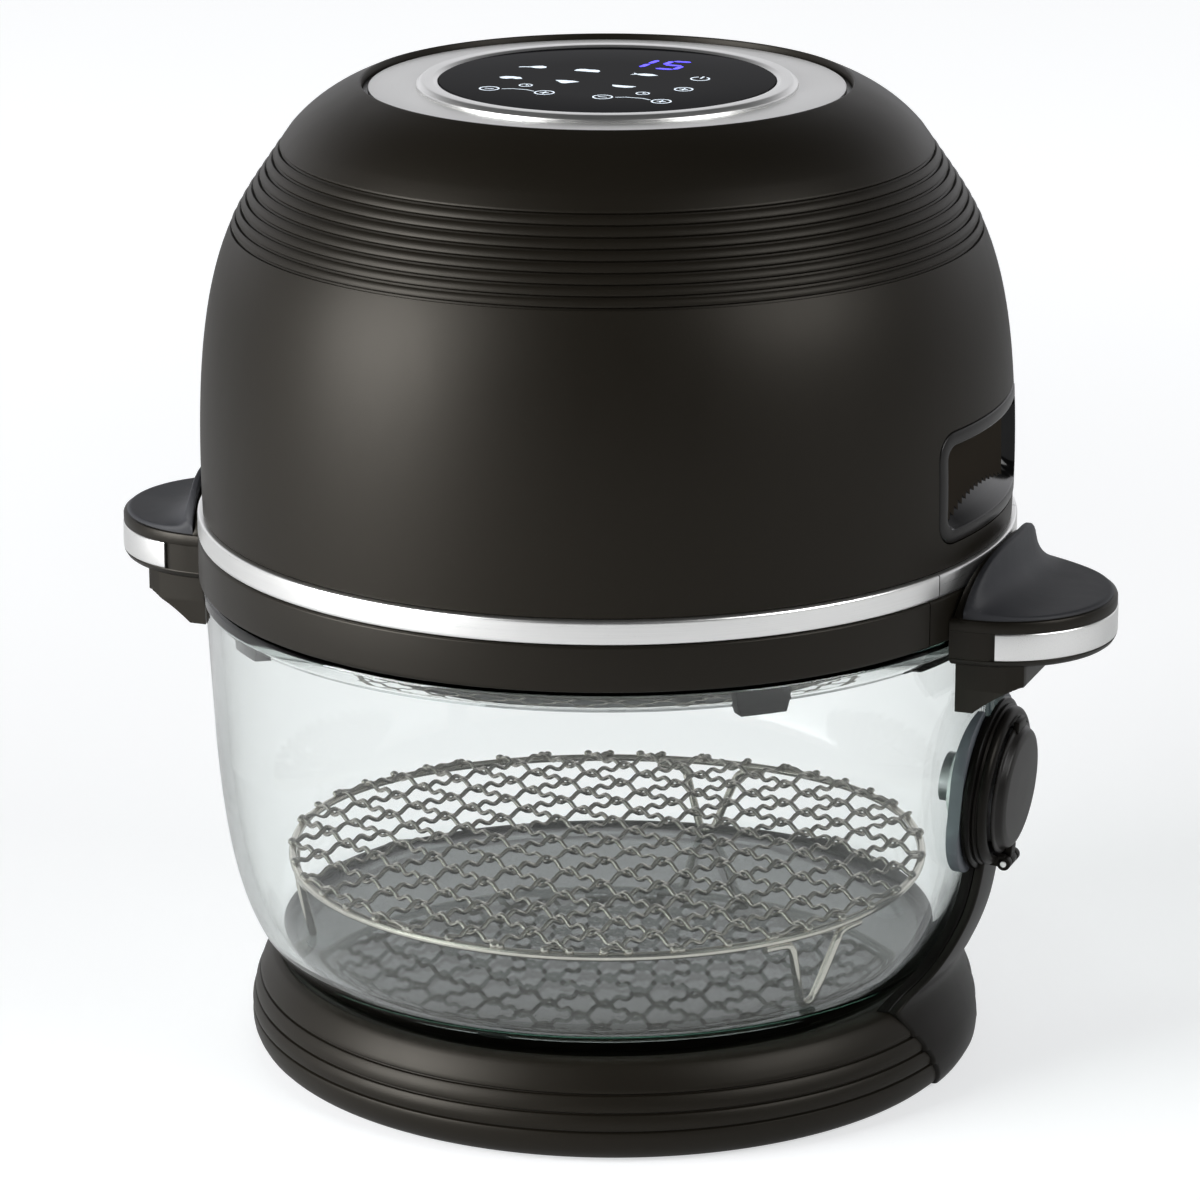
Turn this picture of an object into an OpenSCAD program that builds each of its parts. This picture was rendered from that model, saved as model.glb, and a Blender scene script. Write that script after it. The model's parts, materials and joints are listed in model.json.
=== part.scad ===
// Glass-bowl halogen oven: a lift-off domed lid with two side handles on a glass bowl,
// a ribbed base, a wire rack, and an arm that carries a spit drive up the side of the bowl.
// Origin: on the bowl axis at table level. +Z up, the control panel faces -Y, handles on X.

/* [Base] */
// How far the base ring reaches out beyond the bowl's foot
base_over = 17; // [15:0.5:22]
// Height of the base ring
base_h = 36; // [34:0.5:40]
// How far the base ring sits off the bowl axis, towards the drive arm
base_shift = 3.5; // [0:0.5:5]
// Wall thickness of the base ring
base_wall = 2.6; // [2:0.1:3.5]
// Depth of the step lines round the base ring
base_groove = 0.9; // [0.5:0.1:1.3]
// Thickness of the rubber feet
foot_t = 1.5; // [1:0.1:3]
// Radius of a rubber foot
foot_r = 9; // [6:0.5:12]
// Thickness of the bottom plate
plate_t = 2; // [1.5:0.1:3]
// How far the circle of base screws and feet lies inside the base ring
base_screw_in = 32; // [28:1:40]
// Shank radius of the base and arm screws
screw_r = 1.5; // [1.2:0.1:2]
// Diameter of a battery cell
cell_d = 14.5; // [10.5:0.5:14.5]
// Length of a battery cell
cell_l = 50.5; // [44.5:0.5:50.5]

/* [Bowl] */
// Outer radius of the bowl where its side turns into the curve
bowl_r = 145; // [132:1:160]
// How far the bowl's foot lies inside that
bowl_foot_in = 26; // [23:0.5:29]
// Height of the bowl, outside
bowl_h = 145; // [135:1:155]
// Glass thickness of the side
glass_t = 5; // [4:0.1:6]
// Glass thickness of the floor
floor_t = 7; // [5:0.1:9]
// How far the side leans out between the curve and the rim
bowl_lean = 3.3; // [2:0.1:3.5]
// Height of the bead round the rim
bead_h = 6; // [4:0.5:9]

/* [Rack] */
// How far the rim ring's wire lies inside the bowl's foot
rack_in = 1.2; // [1:0.1:9]
// Height of the rim ring above the bowl's floor
rack_h = 31.3; // [26:0.1:40]
// Radius of the rim and leg wire
rack_wire_r = 1.6; // [1.2:0.1:1.9]
// Radius of the mesh wire
mesh_wire_r = 0.9; // [0.7:0.05:1.2]
// Distance between neighbouring mesh wires
mesh_pitch = 16.2; // [14:0.1:22]
// Half the angle between the two families of mesh wires, in degrees
mesh_half = 49.6; // [40:0.1:50]
// Turn of the mesh about the bowl axis, in degrees
mesh_turn = 17.3; // [0:0.1:30]
// Number of legs
leg_count = 3; // [3:1:4]
// Width of a leg at its top
leg_w = 27; // [20:0.5:34]

/* [Lid] */
// How far the silver band and the skirt ring reach out beyond the bowl's rim
band_over = 1.7; // [1.2:0.1:3]
// Height of the skirt ring
skirt_h = 17; // [15:0.5:20]
// Height of the silver band
band_h = 8.8; // [7:0.1:11]
// Height of the dome above the silver band
dome_h = 156.8; // [148:0.2:168]
// How far the dome's foot lies inside the silver band's face
dome_in_by = 2; // [1.5:0.1:2.5]
// How far the opening in the dome's top lies inside the dome's foot
top_in = 60.1; // [57:0.1:64]
// How far the shoulder above the ribs lies inside the dome's foot
shoulder_in = 32.3; // [30:0.1:35]
// Depth of the shoulder below the dome's top edge
shoulder_d = 19.6; // [18:0.1:22]
// Wall thickness of the dome
dome_wall = 2.6; // [2:0.1:3.2]
// Number of grooves round the dome
rib_count = 9; // [5:1:11]
// Distance between neighbouring grooves
rib_pitch = 3.55; // [3:0.05:3.8]
// Depth of a groove
rib_depth = 1.1; // [0.6:0.1:1.4]
// Width of a groove
rib_w = 1.2; // [0.8:0.1:1.6]
// Gap between the bowl's rim and the bottom of the skirt ring
seal_gap = 0.4; // [0.2:0.1:1]

/* [Panel] */
// Gap between the silver top disc and the dome's opening
disc_gap = 2.2; // [1.8:0.1:4]
// Width of the silver top disc outside the bezel
disc_w = 17.2; // [14:0.1:20]
// Width of the bezel round the touch panel
bezel_w = 8.1; // [6:0.1:10]
// How far the bezel stands above the top disc
bezel_up = 2.4; // [1:0.1:4]

/* [Handles] */
// How far a handle reaches out beyond the silver band
handle_reach = 42.5; // [38:0.5:50]
// Half the width of a handle where it meets the lid
handle_half = 42; // [36:0.5:48]
// Height of the silver trim
trim_h = 10; // [7:0.5:12]
// Thickness of the silver trim
trim_t = 1.6; // [1.2:0.1:2.4]
// Thickness of the handle below the trim
handle_under = 3; // [2:0.5:5]
// Thickness of the handle body above the trim
handle_over = 3; // [2:0.5:4]
// Thickness of the soft pad
pad_t = 2.6; // [2:0.1:4]
// Height of the pad's thumb guard above the pad
guard_up = 17; // [10:0.5:20]
// How far the bracket reaches down beside the glass
bracket_drop = 18; // [10:0.5:22]

/* [Vents] */
// Width of a side vent's frame
vent_w = 91; // [80:1:96]
// Height of a side vent's frame
vent_h = 40; // [34:1:44]
// Height of the middle of the vents above the silver band
vent_up = 28.8; // [25:0.2:33]
// Width of the frame's border
vent_border = 5; // [4:0.5:7]
// Number of fins in a side vent
fin_count = 13; // [9:1:15]
// Depth of a side vent behind the dome's face
vent_depth = 13; // [10:0.5:15]

/* [Drive] */
// Height of the middle of the drive pod above the bowl's bottom
pod_up = 80; // [78:0.5:84]
// Distance from the glass to the back of the pod
pod_gap = 2.3; // [1.9:0.1:2.6]
// Tilt of the pod, square to the glass, in degrees
pod_tilt = 4.5; // [3.5:0.1:5]
// Outer radius of the pod
pod_r = 32; // [30:0.5:34]
// Radius of the hinged cap
cap_r = 24.5; // [23:0.1:25]
// Thickness of the hinged cap
cap_t = 5; // [4:0.1:7]
// Radius of the cap's hinge pin
cap_pin_r = 1; // [0.8:0.05:1.3]
// Half the width of the arm at its narrow part
arm_half = 11; // [9:0.5:14]
// Half the width of the arm where it stands on the base
arm_foot_half = 41; // [34:0.5:44]
// Thickness of the inner arm
arm_t = 4; // [3:0.1:4.5]
// Thickness of the arm cover
cover_t = 3.2; // [2.5:0.1:3.5]
// Radius of the drive coupling's shaft
coupling_r = 5; // [4:0.1:5.5]
// Radius of the hole through the glass
port_r = 11.3; // [11:0.1:12]
// Radius of the hole for a spit
spit_r = 4.1; // [3:0.05:4.5]
// Depth of the hole for a spit
spit_d = 12; // [8:0.5:13]

/* [Fan] */
// How far the heat reflector's wall lies inside the dome's foot
pan_in = 26; // [24:0.5:30]
// Distance from the reflector's wall to the middle of the heating ring's tube
element_in = 28; // [24:1:34]
// Distance from the middle of that tube to the tips of the convection fan
fan_in = 24; // [14:1:34]
// Number of blades on each fan
blade_count = 9; // [6:1:12]
// Radius of the fan shaft
shaft_r = 4; // [3:0.1:5]
// Radius of the heating ring's tube
tube_r = 6; // [5:0.1:7]
// Radius of the fan motor
motor_r = 36; // [30:1:42]
// Height of the fan motor
motor_h = 38; // [30:1:45]
// Radius of a fan's hub
hub_r = 11; // [9:0.5:14]
// Pitch of the fan blades, in degrees
blade_pitch = 38; // [25:1:50]
// Width of the power board
board_w = 60; // [50:1:70]
// Depth of the power board
board_d = 34; // [28:1:40]

/* [Hidden] */

// Clearances: between fixed pieces, between curved faces that move apart, and in a bearing
gap = 0.3;
run = 0.05;
eps = 0.01;
fn_big = 128;
fn_mid = 64;
fn_small = 32;

// A cubic curve between two points, with its two control points, sampled in n steps
function bez(a, b, c, d, t) =
    pow(1 - t, 3) * a + 3 * pow(1 - t, 2) * t * b + 3 * (1 - t) * t * t * c + pow(t, 3) * d;
function curve(a, b, c, d, n) = [for (i = [0:n]) bez(a, b, c, d, i / n)];
// An outline moved sideways by d, to the right of its direction of travel
function unit(v) = v / norm(v);
function side(v) = [v[1], -v[0]];
function along(p, i) = unit(p[min(i + 1, len(p) - 1)] - p[max(i - 1, 0)]);
function shifted(p, d) = [for (i = [0:len(p) - 1]) p[i] + d * side(along(p, i))];
function backwards(p) = [for (i = [len(p) - 1:-1:0]) p[i]];
function swapped(p) = [for (q = p) [q[1], q[0]]];

// Heights that the pieces share, upwards from the table
ring_z = foot_t;
plate_top = foot_t + plate_t;
ledge_z = base_h - 4;
bowl_z = ledge_z + 2;
floor_z = bowl_z + floor_t;
rack_z = floor_z + rack_h;
rim_z = bowl_z + bowl_h;
pod_z = bowl_z + pod_up;
skirt_z = rim_z + seal_gap;
band_z = skirt_z + skirt_h;
dome_z = band_z + band_h;
top_z = dome_z + dome_h;
flange_z = rim_z + 4;
deck_z = flange_z + 49;
vent_z = dome_z + vent_up;
carrier_z = top_z - 9;
disc_z = top_z - 3.2;
trim_z = skirt_z - 6;
handle_z = trim_z - handle_under;
pad_z = trim_z + trim_h + handle_over;

// Bowl outline outside, from the middle of the bottom up to the rim
bowl_foot_r = bowl_r - bowl_foot_in;
bowl_side = backwards(curve([bowl_r, bowl_z + 84], [bowl_r - 3, bowl_z + 41], [bowl_r - 9, bowl_z + 13],
    [bowl_foot_r, bowl_z], 12));
bowl_top_r = bowl_r + bowl_lean;
bowl_out = concat(bowl_side, [[bowl_top_r, rim_z]]);
bowl_in = [for (p = shifted(bowl_out, -glass_t)) if (p[1] > floor_z + 1) [p[0], min(p[1], rim_z)]];
bead_r = bowl_top_r + 0.7;
rack_r = bowl_foot_r - rack_in;

// Radii that the pieces share, from the bowl outwards and then inwards over the lid
base_r = bowl_foot_r + base_over;
base_screw_pcr = base_r - base_screw_in;
band_r = bowl_top_r + band_over;
dome_r = band_r - dome_in_by;
shoulder_r = dome_r - shoulder_in;
top_r = dome_r - top_in;
disc_r = top_r - disc_gap;
bezel_r = disc_r - disc_w;
panel_r = bezel_r - bezel_w;
pan_r = dome_r - pan_in;
element_r = pan_r - element_in;
fan_r = element_r - fan_in;
pod_x = lookup(pod_z, swapped(bowl_out)) + pod_gap;

// Base ring outline outside, from the bottom to the top
ring_seat_r = bowl_foot_r + 3.3;
ring_top_r = base_r - 8;
ring_out = [[base_r - 3, ring_z], [base_r - 1.2, base_h * 0.14], [base_r - 0.3, base_h * 0.22],
    [base_r, base_h * 0.32], [base_r - 0.3, base_h * 0.445], [base_r - 1.3, base_h * 0.57],
    [base_r - 3, base_h * 0.72], [base_r - 5, base_h * 0.86], [ring_top_r, base_h]];
plate_r = base_r - 3 - base_wall;
groove_z = base_h * [0.347, 0.528, 0.708];

// Dome outline outside, from the silver band up to the shoulder and on to the top opening
dome_side = curve([dome_r, dome_z], [dome_r + 3.3, top_z - 54.9], [shoulder_r + 15.7, top_z - 45.4],
    [shoulder_r, top_z - shoulder_d], 22);
dome_cap = curve([shoulder_r, top_z - shoulder_d], [shoulder_r - 6.7, top_z - 11], [top_r + 12, top_z - 4.5],
    [top_r, top_z], 7);
dome_out = concat(dome_side, [for (i = [1:len(dome_cap) - 1]) dome_cap[i]]);
dome_in = shifted(dome_out, -dome_wall);
dome_radius = swapped(dome_side);
rib_top = top_z - 23.2;

// Builds a solid of revolution about Z from points (radius, height)
module turned(points, fn = fn_big) {
    rotate_extrude($fn = fn) polygon(points);
}

module ring(r_out, r_in, z, h, fn = fn_big) {
    turned([[r_in, z], [r_out, z], [r_out, z + h], [r_in, z + h]], fn);
}

// A rectangle with round corners, centred
module rounded(w, h, r) {
    square([w - 2 * r, h], center = true);
    square([w, h - 2 * r], center = true);
    for (x = [-1, 1], y = [-1, 1]) translate([x * (w / 2 - r), y * (h / 2 - r)])
        circle(r = r, $fn = fn_small);
}

// Lays a flat outline in the YZ plane and draws it out along X
module along_x(x, length) {
    translate([x, 0, 0]) rotate([90, 0, 90]) linear_extrude(length) children();
}

// Places what is built along X on the axis of the drive pod
module on_pod() {
    translate([pod_x, 0, pod_z]) rotate([0, pod_tilt, 0]) children();
}

// A round bar or hole along X, from x over a length
module bar_x(r, x, length, fn = fn_mid) {
    translate([x, 0, 0]) rotate([0, 90, 0]) cylinder(r = r, h = length, $fn = fn);
}

module mirrored(left) {
    mirror([left ? 1 : 0, 0, 0]) children();
}

// Base
foot_step = 1.6;
foot_low_half = 19;
foot_levels = [ring_z, groove_z[0], groove_z[1], groove_z[2], base_h];
function foot_half(k) = foot_low_half + (arm_foot_half - foot_low_half) * (foot_levels[k] - ring_z)
    / (base_h - ring_z);
// Half outline of the foot panel, which steps in at each groove
foot_right = [for (k = [0:3], e = [0, 1])
    [foot_half(k + e) + (e == 0 && k > 0 ? foot_step : 0), foot_levels[k + e]]];
foot_outline = concat(foot_right, [for (p = backwards(foot_right)) [-p[0], p[1]]]);
foot_recess = 1.4;
foot_proud = 0.5;

module ring_envelope() {
    translate([base_shift, 0, 0]) turned(concat([[0, ring_z]], ring_out, [[0, base_h]]));
}

// The base ring's outline moved in or out, and run past the ring's bottom and top
module ring_cut(grow) {
    outline = shifted(ring_out, grow);
    low = min(ring_z, outline[0][1]) - 1;
    high = max(base_h, outline[len(outline) - 1][1]) + 1;
    translate([base_shift, 0, 0]) turned(concat([[0, low], [outline[0][0], low]], outline,
        [[outline[len(outline) - 1][0], high], [0, high]]));
}

module base_posts(r, z, h) {
    for (a = [45:90:315]) rotate(a) translate([base_screw_pcr, 0, z]) cylinder(r = r, h = h, $fn = fn_small);
}

module base_ring() {
    color("#26231f") difference() {
        union() {
            difference() {
                ring_envelope();
                ring_cut(-base_wall);
            }
            difference() {
                intersection() {
                    ring_envelope();
                    translate([0, 0, ledge_z - 3]) cylinder(r = base_r, h = base_h, $fn = fn_big);
                }
                translate([0, 0, ledge_z]) cylinder(r = ring_seat_r, h = base_h, $fn = fn_big);
            }
            base_posts(5, plate_top, ledge_z - plate_top - 1);
        }
        base_posts(screw_r - 0.3, plate_top - 1, 18);
        for (z = groove_z) difference() {
            translate([base_shift, 0, 0])
                ring(base_r + 2, lookup(z, swapped(ring_out)) - base_groove, z - 0.5, 1);
            along_x(0, base_r + 10) polygon(foot_outline);
        }
        intersection() {
            difference() {
                ring_cut(4);
                ring_cut(-foot_recess);
            }
            along_x(base_r - 30, 50) polygon(foot_outline);
        }
    }
}

module base_plate() {
    color("#1c1a18") difference() {
        translate([base_shift, 0, foot_t]) cylinder(r = plate_r - gap, h = plate_t, $fn = fn_big);
        base_posts(screw_r + 0.2, 0, base_h);
        base_posts(screw_r + 1.8, 0, foot_t + 1.2);
    }
}

module base_feet() {
    color("#303030") for (a = [0:90:270]) rotate(a) translate([base_screw_pcr, 0, 0])
        cylinder(r = foot_r, h = foot_t, $fn = fn_mid);
}

module screw(head_r, head_h, shank_r, length) {
    cylinder(r = head_r, h = head_h, $fn = fn_small);
    translate([0, 0, head_h]) cylinder(r = shank_r, h = length, $fn = fn_small);
}

module base_screws() {
    color("silver") for (a = [45:90:315]) rotate(a) translate([base_screw_pcr, 0, foot_t + 0.2])
        screw(screw_r + 1.5, 1, screw_r - 0.3, 14);
}

module bowl_pads() {
    color("#3a3a3c") for (a = [0:60:300]) rotate(a + 30) translate([bowl_foot_r - 9, 0, ledge_z])
        cylinder(r = 6, h = bowl_z - ledge_z, $fn = fn_mid);
}

battery_x = base_r / 4;
box_wall = 2;
box_in = [2 * cell_d + 6, cell_l + 7];
module battery_box() {
    color("#2a2a2a") translate([battery_x, 0, plate_top]) difference() {
        translate([0, 0, cell_d / 2 + 1])
            cube([box_in[0] + 2 * box_wall, box_in[1] + 2 * box_wall, cell_d + 2], center = true);
        translate([0, 0, cell_d / 2 + 2 + box_wall]) cube([box_in[0], box_in[1], cell_d + 4], center = true);
    }
}

module battery_cells() {
    color("#8a8f94") for (x = [-1, 1])
        translate([battery_x + x * (cell_d / 2 + 0.6), -cell_l / 2, plate_top + box_wall + cell_d / 2])
            rotate([-90, 0, 0]) cylinder(d = cell_d, h = cell_l, $fn = fn_small);
}

// Arm: a strip of the surface just outside the bowl, cut to the arm's side outline
arm_gap = 1;
arm_low = base_h + 0.2;
arm_neck_z = pod_z - pod_r;
arm_right = curve([arm_foot_half, arm_low], [arm_foot_half - 18, arm_low + 10], [arm_half, arm_low + 20],
    [arm_half, arm_neck_z], 12);
arm_outline = concat(arm_right, [[arm_half + 4, pod_z - 22], [-arm_half - 4, pod_z - 22]],
    [for (p = backwards(arm_right)) [-p[0], p[1]]]);

module bowl_offset(d, low) {
    outline = shifted(bowl_out, d);
    turned(concat([[0, outline[0][1] - low]], [[outline[0][0], outline[0][1] - low]], outline,
        [[0, rim_z]]));
}

module arm_strip(inner, thick) {
    intersection() {
        difference() {
            bowl_offset(inner + thick, 0);
            bowl_offset(inner, 1);
        }
        along_x(0, 200) polygon(arm_outline);
    }
}

// Pod, along its own axis from the back plate outwards
plate_x = 3.4;
shell_x = 8.4;
channel_r = port_r + gap;
boss_out = 1;
boss_recess = 1.7;
bush_r = coupling_r + 3;
shell_r = pod_r - 2.4;
motor_pod_r = cap_r - 3.5;
motor_pod_h = 5.8;
hinge_x = shell_x + 2.7;
knuckle_out = 3.1;
hinge_z = -(cap_r + knuckle_out);
knuckle_r = 2.4;

// The channel that the bowl's port boss leaves through when the bowl is lifted
module port_channel(x, length) {
    bar_x(channel_r, x, length);
    translate([x, -channel_r, 0]) cube([length, 2 * channel_r, pod_r + 10]);
}

module drive_arm() {
    color("#161412") difference() {
        union() {
            difference() {
                arm_strip(arm_gap, arm_t);
                on_pod() bar_x(pod_r - 1, -20, 60);
            }
            on_pod() bar_x(pod_r, 0, plate_x);
        }
        bowl_offset(arm_gap - gap, 1);
        on_pod() port_channel(-10, 10 + boss_recess);
        on_pod() bar_x(bush_r, -1, plate_x + 3);
        on_pod() for (a = [60, 120, 240, 300]) rotate([a, 0, 0]) translate([0, 0, pod_r - 5.5])
            bar_x(screw_r + 0.1, -1, 6, fn_small);
    }
}

module arm_cover() {
    color("#35302b") difference() {
        union() {
            difference() {
                arm_strip(arm_gap + arm_t + 0.1, cover_t);
                on_pod() bar_x(shell_r - 3, -20, 60);
            }
            on_pod() rotate([0, 90, 0]) turned([[motor_pod_r + 1, plate_x + 0.1], [shell_r, plate_x + 0.1],
                [shell_r, shell_x - 2], [shell_r - 1.6, shell_x], [motor_pod_r + 1, shell_x]]);
            on_pod() for (y = [-6.6, 3.4]) translate([shell_x - 1, y, hinge_z - knuckle_r])
                cube([6, 3.2, knuckle_r + knuckle_out - 0.4]);
        }
        on_pod() bar_x(pod_r + 8, -30, 30 + plate_x + 0.1);
        on_pod() translate([hinge_x, 8, hinge_z]) rotate([90, 0, 0])
            cylinder(r = cap_pin_r, h = 16, $fn = fn_small);
        on_pod() translate([shell_x, -3.4, hinge_z - 4]) cube([8, 6.8, 9]);
        on_pod() for (a = [60, 120, 240, 300]) rotate([a, 0, 0]) translate([0, 0, pod_r - 5.5])
            bar_x(screw_r - 0.3, 0, plate_x + 4, fn_small);
    }
    color("#35302b") intersection() {
        difference() {
            arm_strip(arm_gap + arm_t + 0.1, cover_t);
            on_pod() bar_x(pod_r + gap, -30, 60);
        }
        on_pod() bar_x(pod_r + 8, -30, 30 + plate_x + 0.1 + eps);
    }
}

module arm_screws() {
    color("silver") on_pod() for (a = [60, 120, 240, 300]) rotate([a, 0, 0]) translate([0.6, 0, pod_r - 5.5])
        rotate([0, 90, 0]) cylinder(r = screw_r - 0.3, h = plate_x + 2, $fn = fn_small);
}

module foot_cover() {
    color("#171512") intersection() {
        difference() {
            ring_cut(foot_proud);
            ring_cut(gap - foot_recess);
        }
        along_x(base_r - 30, 50) polygon([for (p = foot_outline) [p[0] * 0.985, p[1]]]);
    }
}

module saddle_pad() {
    color("#6c7478") difference() {
        on_pod() bar_x(pod_r - 1, -8, 8);
        bowl_offset(gap, 1);
        on_pod() port_channel(-12, 16);
    }
}

module drive_motor() {
    color("#9a9ea2") on_pod() difference() {
        bar_x(motor_pod_r, plate_x + 0.1, motor_pod_h);
        bar_x(coupling_r - 2 + run, plate_x - 1, 4);
    }
}

module coupling_bush() {
    color("#c9a24a") on_pod() difference() {
        bar_x(bush_r - 0.02, boss_recess, plate_x - boss_recess);
        bar_x(coupling_r + run, -1, plate_x + 4);
    }
}

tongue_t = 3;
tongue_h = 9;
tongue_in = -1.7;
module drive_coupling() {
    color("#d8d8d8") on_pod() {
        bar_x(coupling_r, boss_recess - 0.4, plate_x - boss_recess + 0.3);
        bar_x(coupling_r - 2, plate_x - 0.5, 3);
        translate([tongue_in, -tongue_t / 2, -tongue_h / 2])
            cube([boss_recess - tongue_in, tongue_t, tongue_h]);
    }
}

module cap_pin() {
    color("silver") on_pod() translate([hinge_x, 6.6, hinge_z]) rotate([90, 0, 0])
        cylinder(r = cap_pin_r - 0.02, h = 13.2, $fn = fn_small);
}

module drive_cap() {
    color("#2c2825") on_pod() difference() {
        union() {
            translate([shell_x + gap, 0, 0]) rotate([0, 90, 0]) turned([[0, 0], [cap_r, 0], [cap_r, 1.6],
                [cap_r - 1.8, 2.6], [cap_r - 4, 3], [cap_r - 6.2, cap_t - 0.5], [cap_r - 7.2, cap_t],
                    [0, cap_t]]);
            translate([hinge_x, 3, hinge_z]) rotate([90, 0, 0])
                cylinder(r = knuckle_r, h = 6, $fn = fn_small);
            translate([shell_x + gap + 0.4, -3, hinge_z]) cube([cap_t - 1.2, 6, 6]);
            translate([shell_x + gap, -5, cap_r - 1.5]) cube([2, 10, 3.2]);
        }
        bar_x(motor_pod_r + 0.8, plate_x, motor_pod_h + 0.5);
        translate([hinge_x, 8, hinge_z]) rotate([90, 0, 0])
            cylinder(r = cap_pin_r + run, h = 16, $fn = fn_small);
    }
}

// Bowl
socket_r = spit_r + 2.9;
socket_out = boss_out - 0.3;
slot_in = -2;

module bowl_cavity() {
    turned(concat([[0, floor_z], [bowl_foot_r - 7, floor_z]], bowl_in,
        [[bowl_in[len(bowl_in) - 1][0], rim_z + 1], [0, rim_z + 1]]));
}

module glass_bowl() {
    color([0.75, 0.85, 0.82, 0.35]) difference() {
        union() {
            bowl_offset(0, 0);
            turned([[bowl_top_r - 3, rim_z - bead_h], [bead_r - 0.5, rim_z - bead_h],
                [bead_r, rim_z - bead_h + 1],
                [bead_r, rim_z - 1], [bead_r - 1, rim_z], [bowl_top_r - 3, rim_z]]);
        }
        bowl_cavity();
        on_pod() bar_x(port_r, -30, 40);
    }
}

bush_flange = -10.4;
gasket_t = 2.1;
module port_bush() {
    color("#55595c") on_pod() difference() {
        union() {
            bar_x(port_r - gap, bush_flange, boss_out - bush_flange);
            bar_x(port_r + 3.2, bush_flange - 2.4, 2.4);
        }
        bar_x(socket_r + run, bush_flange - 5, 20);
        translate([slot_in - 0.1, -2.2, -port_r - 1]) cube([8, 4.4, port_r + 1]);
    }
}

module port_gasket() {
    color("#3a3a3c") on_pod() difference() {
        bar_x(port_r + 3.2, bush_flange, gasket_t);
        bar_x(port_r, bush_flange - 1, 10);
    }
}

module spit_socket() {
    color("#b9bcc0") on_pod() difference() {
        union() {
            bar_x(socket_r, bush_flange - 2.4, socket_out - bush_flange + 2.4);
            bar_x(socket_r + 2.4, bush_flange - 2.4 - gap - 4, 4);
            bar_x(socket_r - 0.5, bush_flange - 2.4 - gap, gap + 0.2);
        }
        bar_x(spit_r, bush_flange - 2.4 - gap - 5, spit_d + 1);
        translate([slot_in, -tongue_t / 2 - 0.15, -20]) cube([8, tongue_t + 0.3, 40]);
    }
}

// Rack
module rack_rim() {
    color("#c8c6c0") rotate_extrude($fn = fn_big) translate([rack_r, rack_z])
        circle(r = rack_wire_r, $fn = fn_small);
}

// Mesh wires lie just inside the rim ring; the two families cross half sunk into each other
mesh_r = rack_r - 0.4;
wire_steps = floor((mesh_r - 4) / mesh_pitch);
module rack_mesh() {
    color("#c8c6c0") for (f = [-1, 1]) rotate(mesh_turn + f * mesh_half)
        for (k = [-wire_steps:wire_steps]) {
            offset_y = k * mesh_pitch;
            half = sqrt(mesh_r * mesh_r - offset_y * offset_y);
            translate([-half, offset_y, rack_z + rack_wire_r + 0.5 + 0.1 * f]) rotate([0, 90, 0])
                rotate(45) cylinder(r = mesh_wire_r, h = 2 * half, $fn = 4);
        }
}

leg_lean = 0.19;
leg_low_z = floor_z + rack_wire_r;
leg_top_z = rack_z - 2 * rack_wire_r + 0.4;
leg_points = [[-leg_w / 2 - 8, leg_top_z], [-leg_w / 2 + 2, leg_top_z], [-2, leg_low_z], [2, leg_low_z],
    [leg_w / 2 - 2, leg_top_z], [leg_w / 2 + 8, leg_top_z]];
function leg_at(p) = [rack_r - 0.6 - (rack_z - p[1]) * leg_lean, p[0], p[1]];
module rack_legs() {
    color("#c8c6c0") for (k = [0:leg_count - 1]) rotate(-30 + 360 / leg_count * k)
        for (i = [0:len(leg_points) - 2]) hull() for (j = [0, 1])
            translate(leg_at(leg_points[i + j])) sphere(r = rack_wire_r, $fn = 10);
}

// Lid
module dome_shell() {
    color("#2b2925") difference() {
        turned(concat([[dome_r - dome_wall, dome_z]], dome_out,
            [[top_r, carrier_z - 3], [top_r - 6, carrier_z - 3],
            [top_r - 6, carrier_z - 5.4], [dome_in[len(dome_in) - 3][0] - 1, carrier_z - 5.4]],
            [for (p = backwards(dome_in)) if (p[1] < carrier_z - 7 && p[1] > dome_z + 1) p]));
        for (k = [0:rib_count - 1]) {
            z = rib_top - k * rib_pitch;
            r = lookup(z, dome_radius);
            turned([[r - rib_depth, z - rib_w / 2], [r + 4, z - rib_w / 2], [r + 4, z + rib_w / 2],
                [r - rib_depth, z + rib_w / 2]]);
        }
        for (s = [0, 1]) mirrored(s == 1) translate([0, 0, vent_z]) along_x(dome_r - 30, 60)
            rounded(vent_w - 4, vent_h - 4, 7);
        gland_hole(gland_r);
    }
}

module silver_band() {
    color("#d6d6d4") ring(band_r, dome_r - dome_wall, band_z + 0.1, band_h - 0.2);
}

skirt_wall = 3;
skirt_r = band_r - skirt_wall;
spigot_t = 2.4;
spigot_r = dome_r - dome_wall - 0.6;
spigot_top = band_z + 15;
shelf_r = dome_r - 20;
shelf_t = 3;
pan_t = 1.2;
shelf_z = flange_z + pan_t;
lid_screw_r = dome_r - 17;
module skirt_ring() {
    color("#1f1d1b") difference() {
        turned([[shelf_r, shelf_z], [skirt_r, shelf_z], [skirt_r, skirt_z + 2], [band_r - 0.8, skirt_z],
            [band_r, skirt_z + 0.8], [band_r, band_z], [spigot_r, band_z], [spigot_r, spigot_top],
            [spigot_r - spigot_t, spigot_top], [spigot_r - spigot_t, band_z - skirt_wall],
            [skirt_r, band_z - skirt_wall], [skirt_r, shelf_z + shelf_t], [shelf_r, shelf_z + shelf_t]]);
        for (a = [45:90:315]) rotate(a) translate([lid_screw_r, 0, shelf_z - 1])
            cylinder(r = screw_r - 0.3 + run, h = shelf_t + 2, $fn = fn_small);
    }
}

module rim_seal() {
    color("#3c3d3f") ring(skirt_r - gap, guide_r + gap, rim_z, flange_z - rim_z);
}

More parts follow.
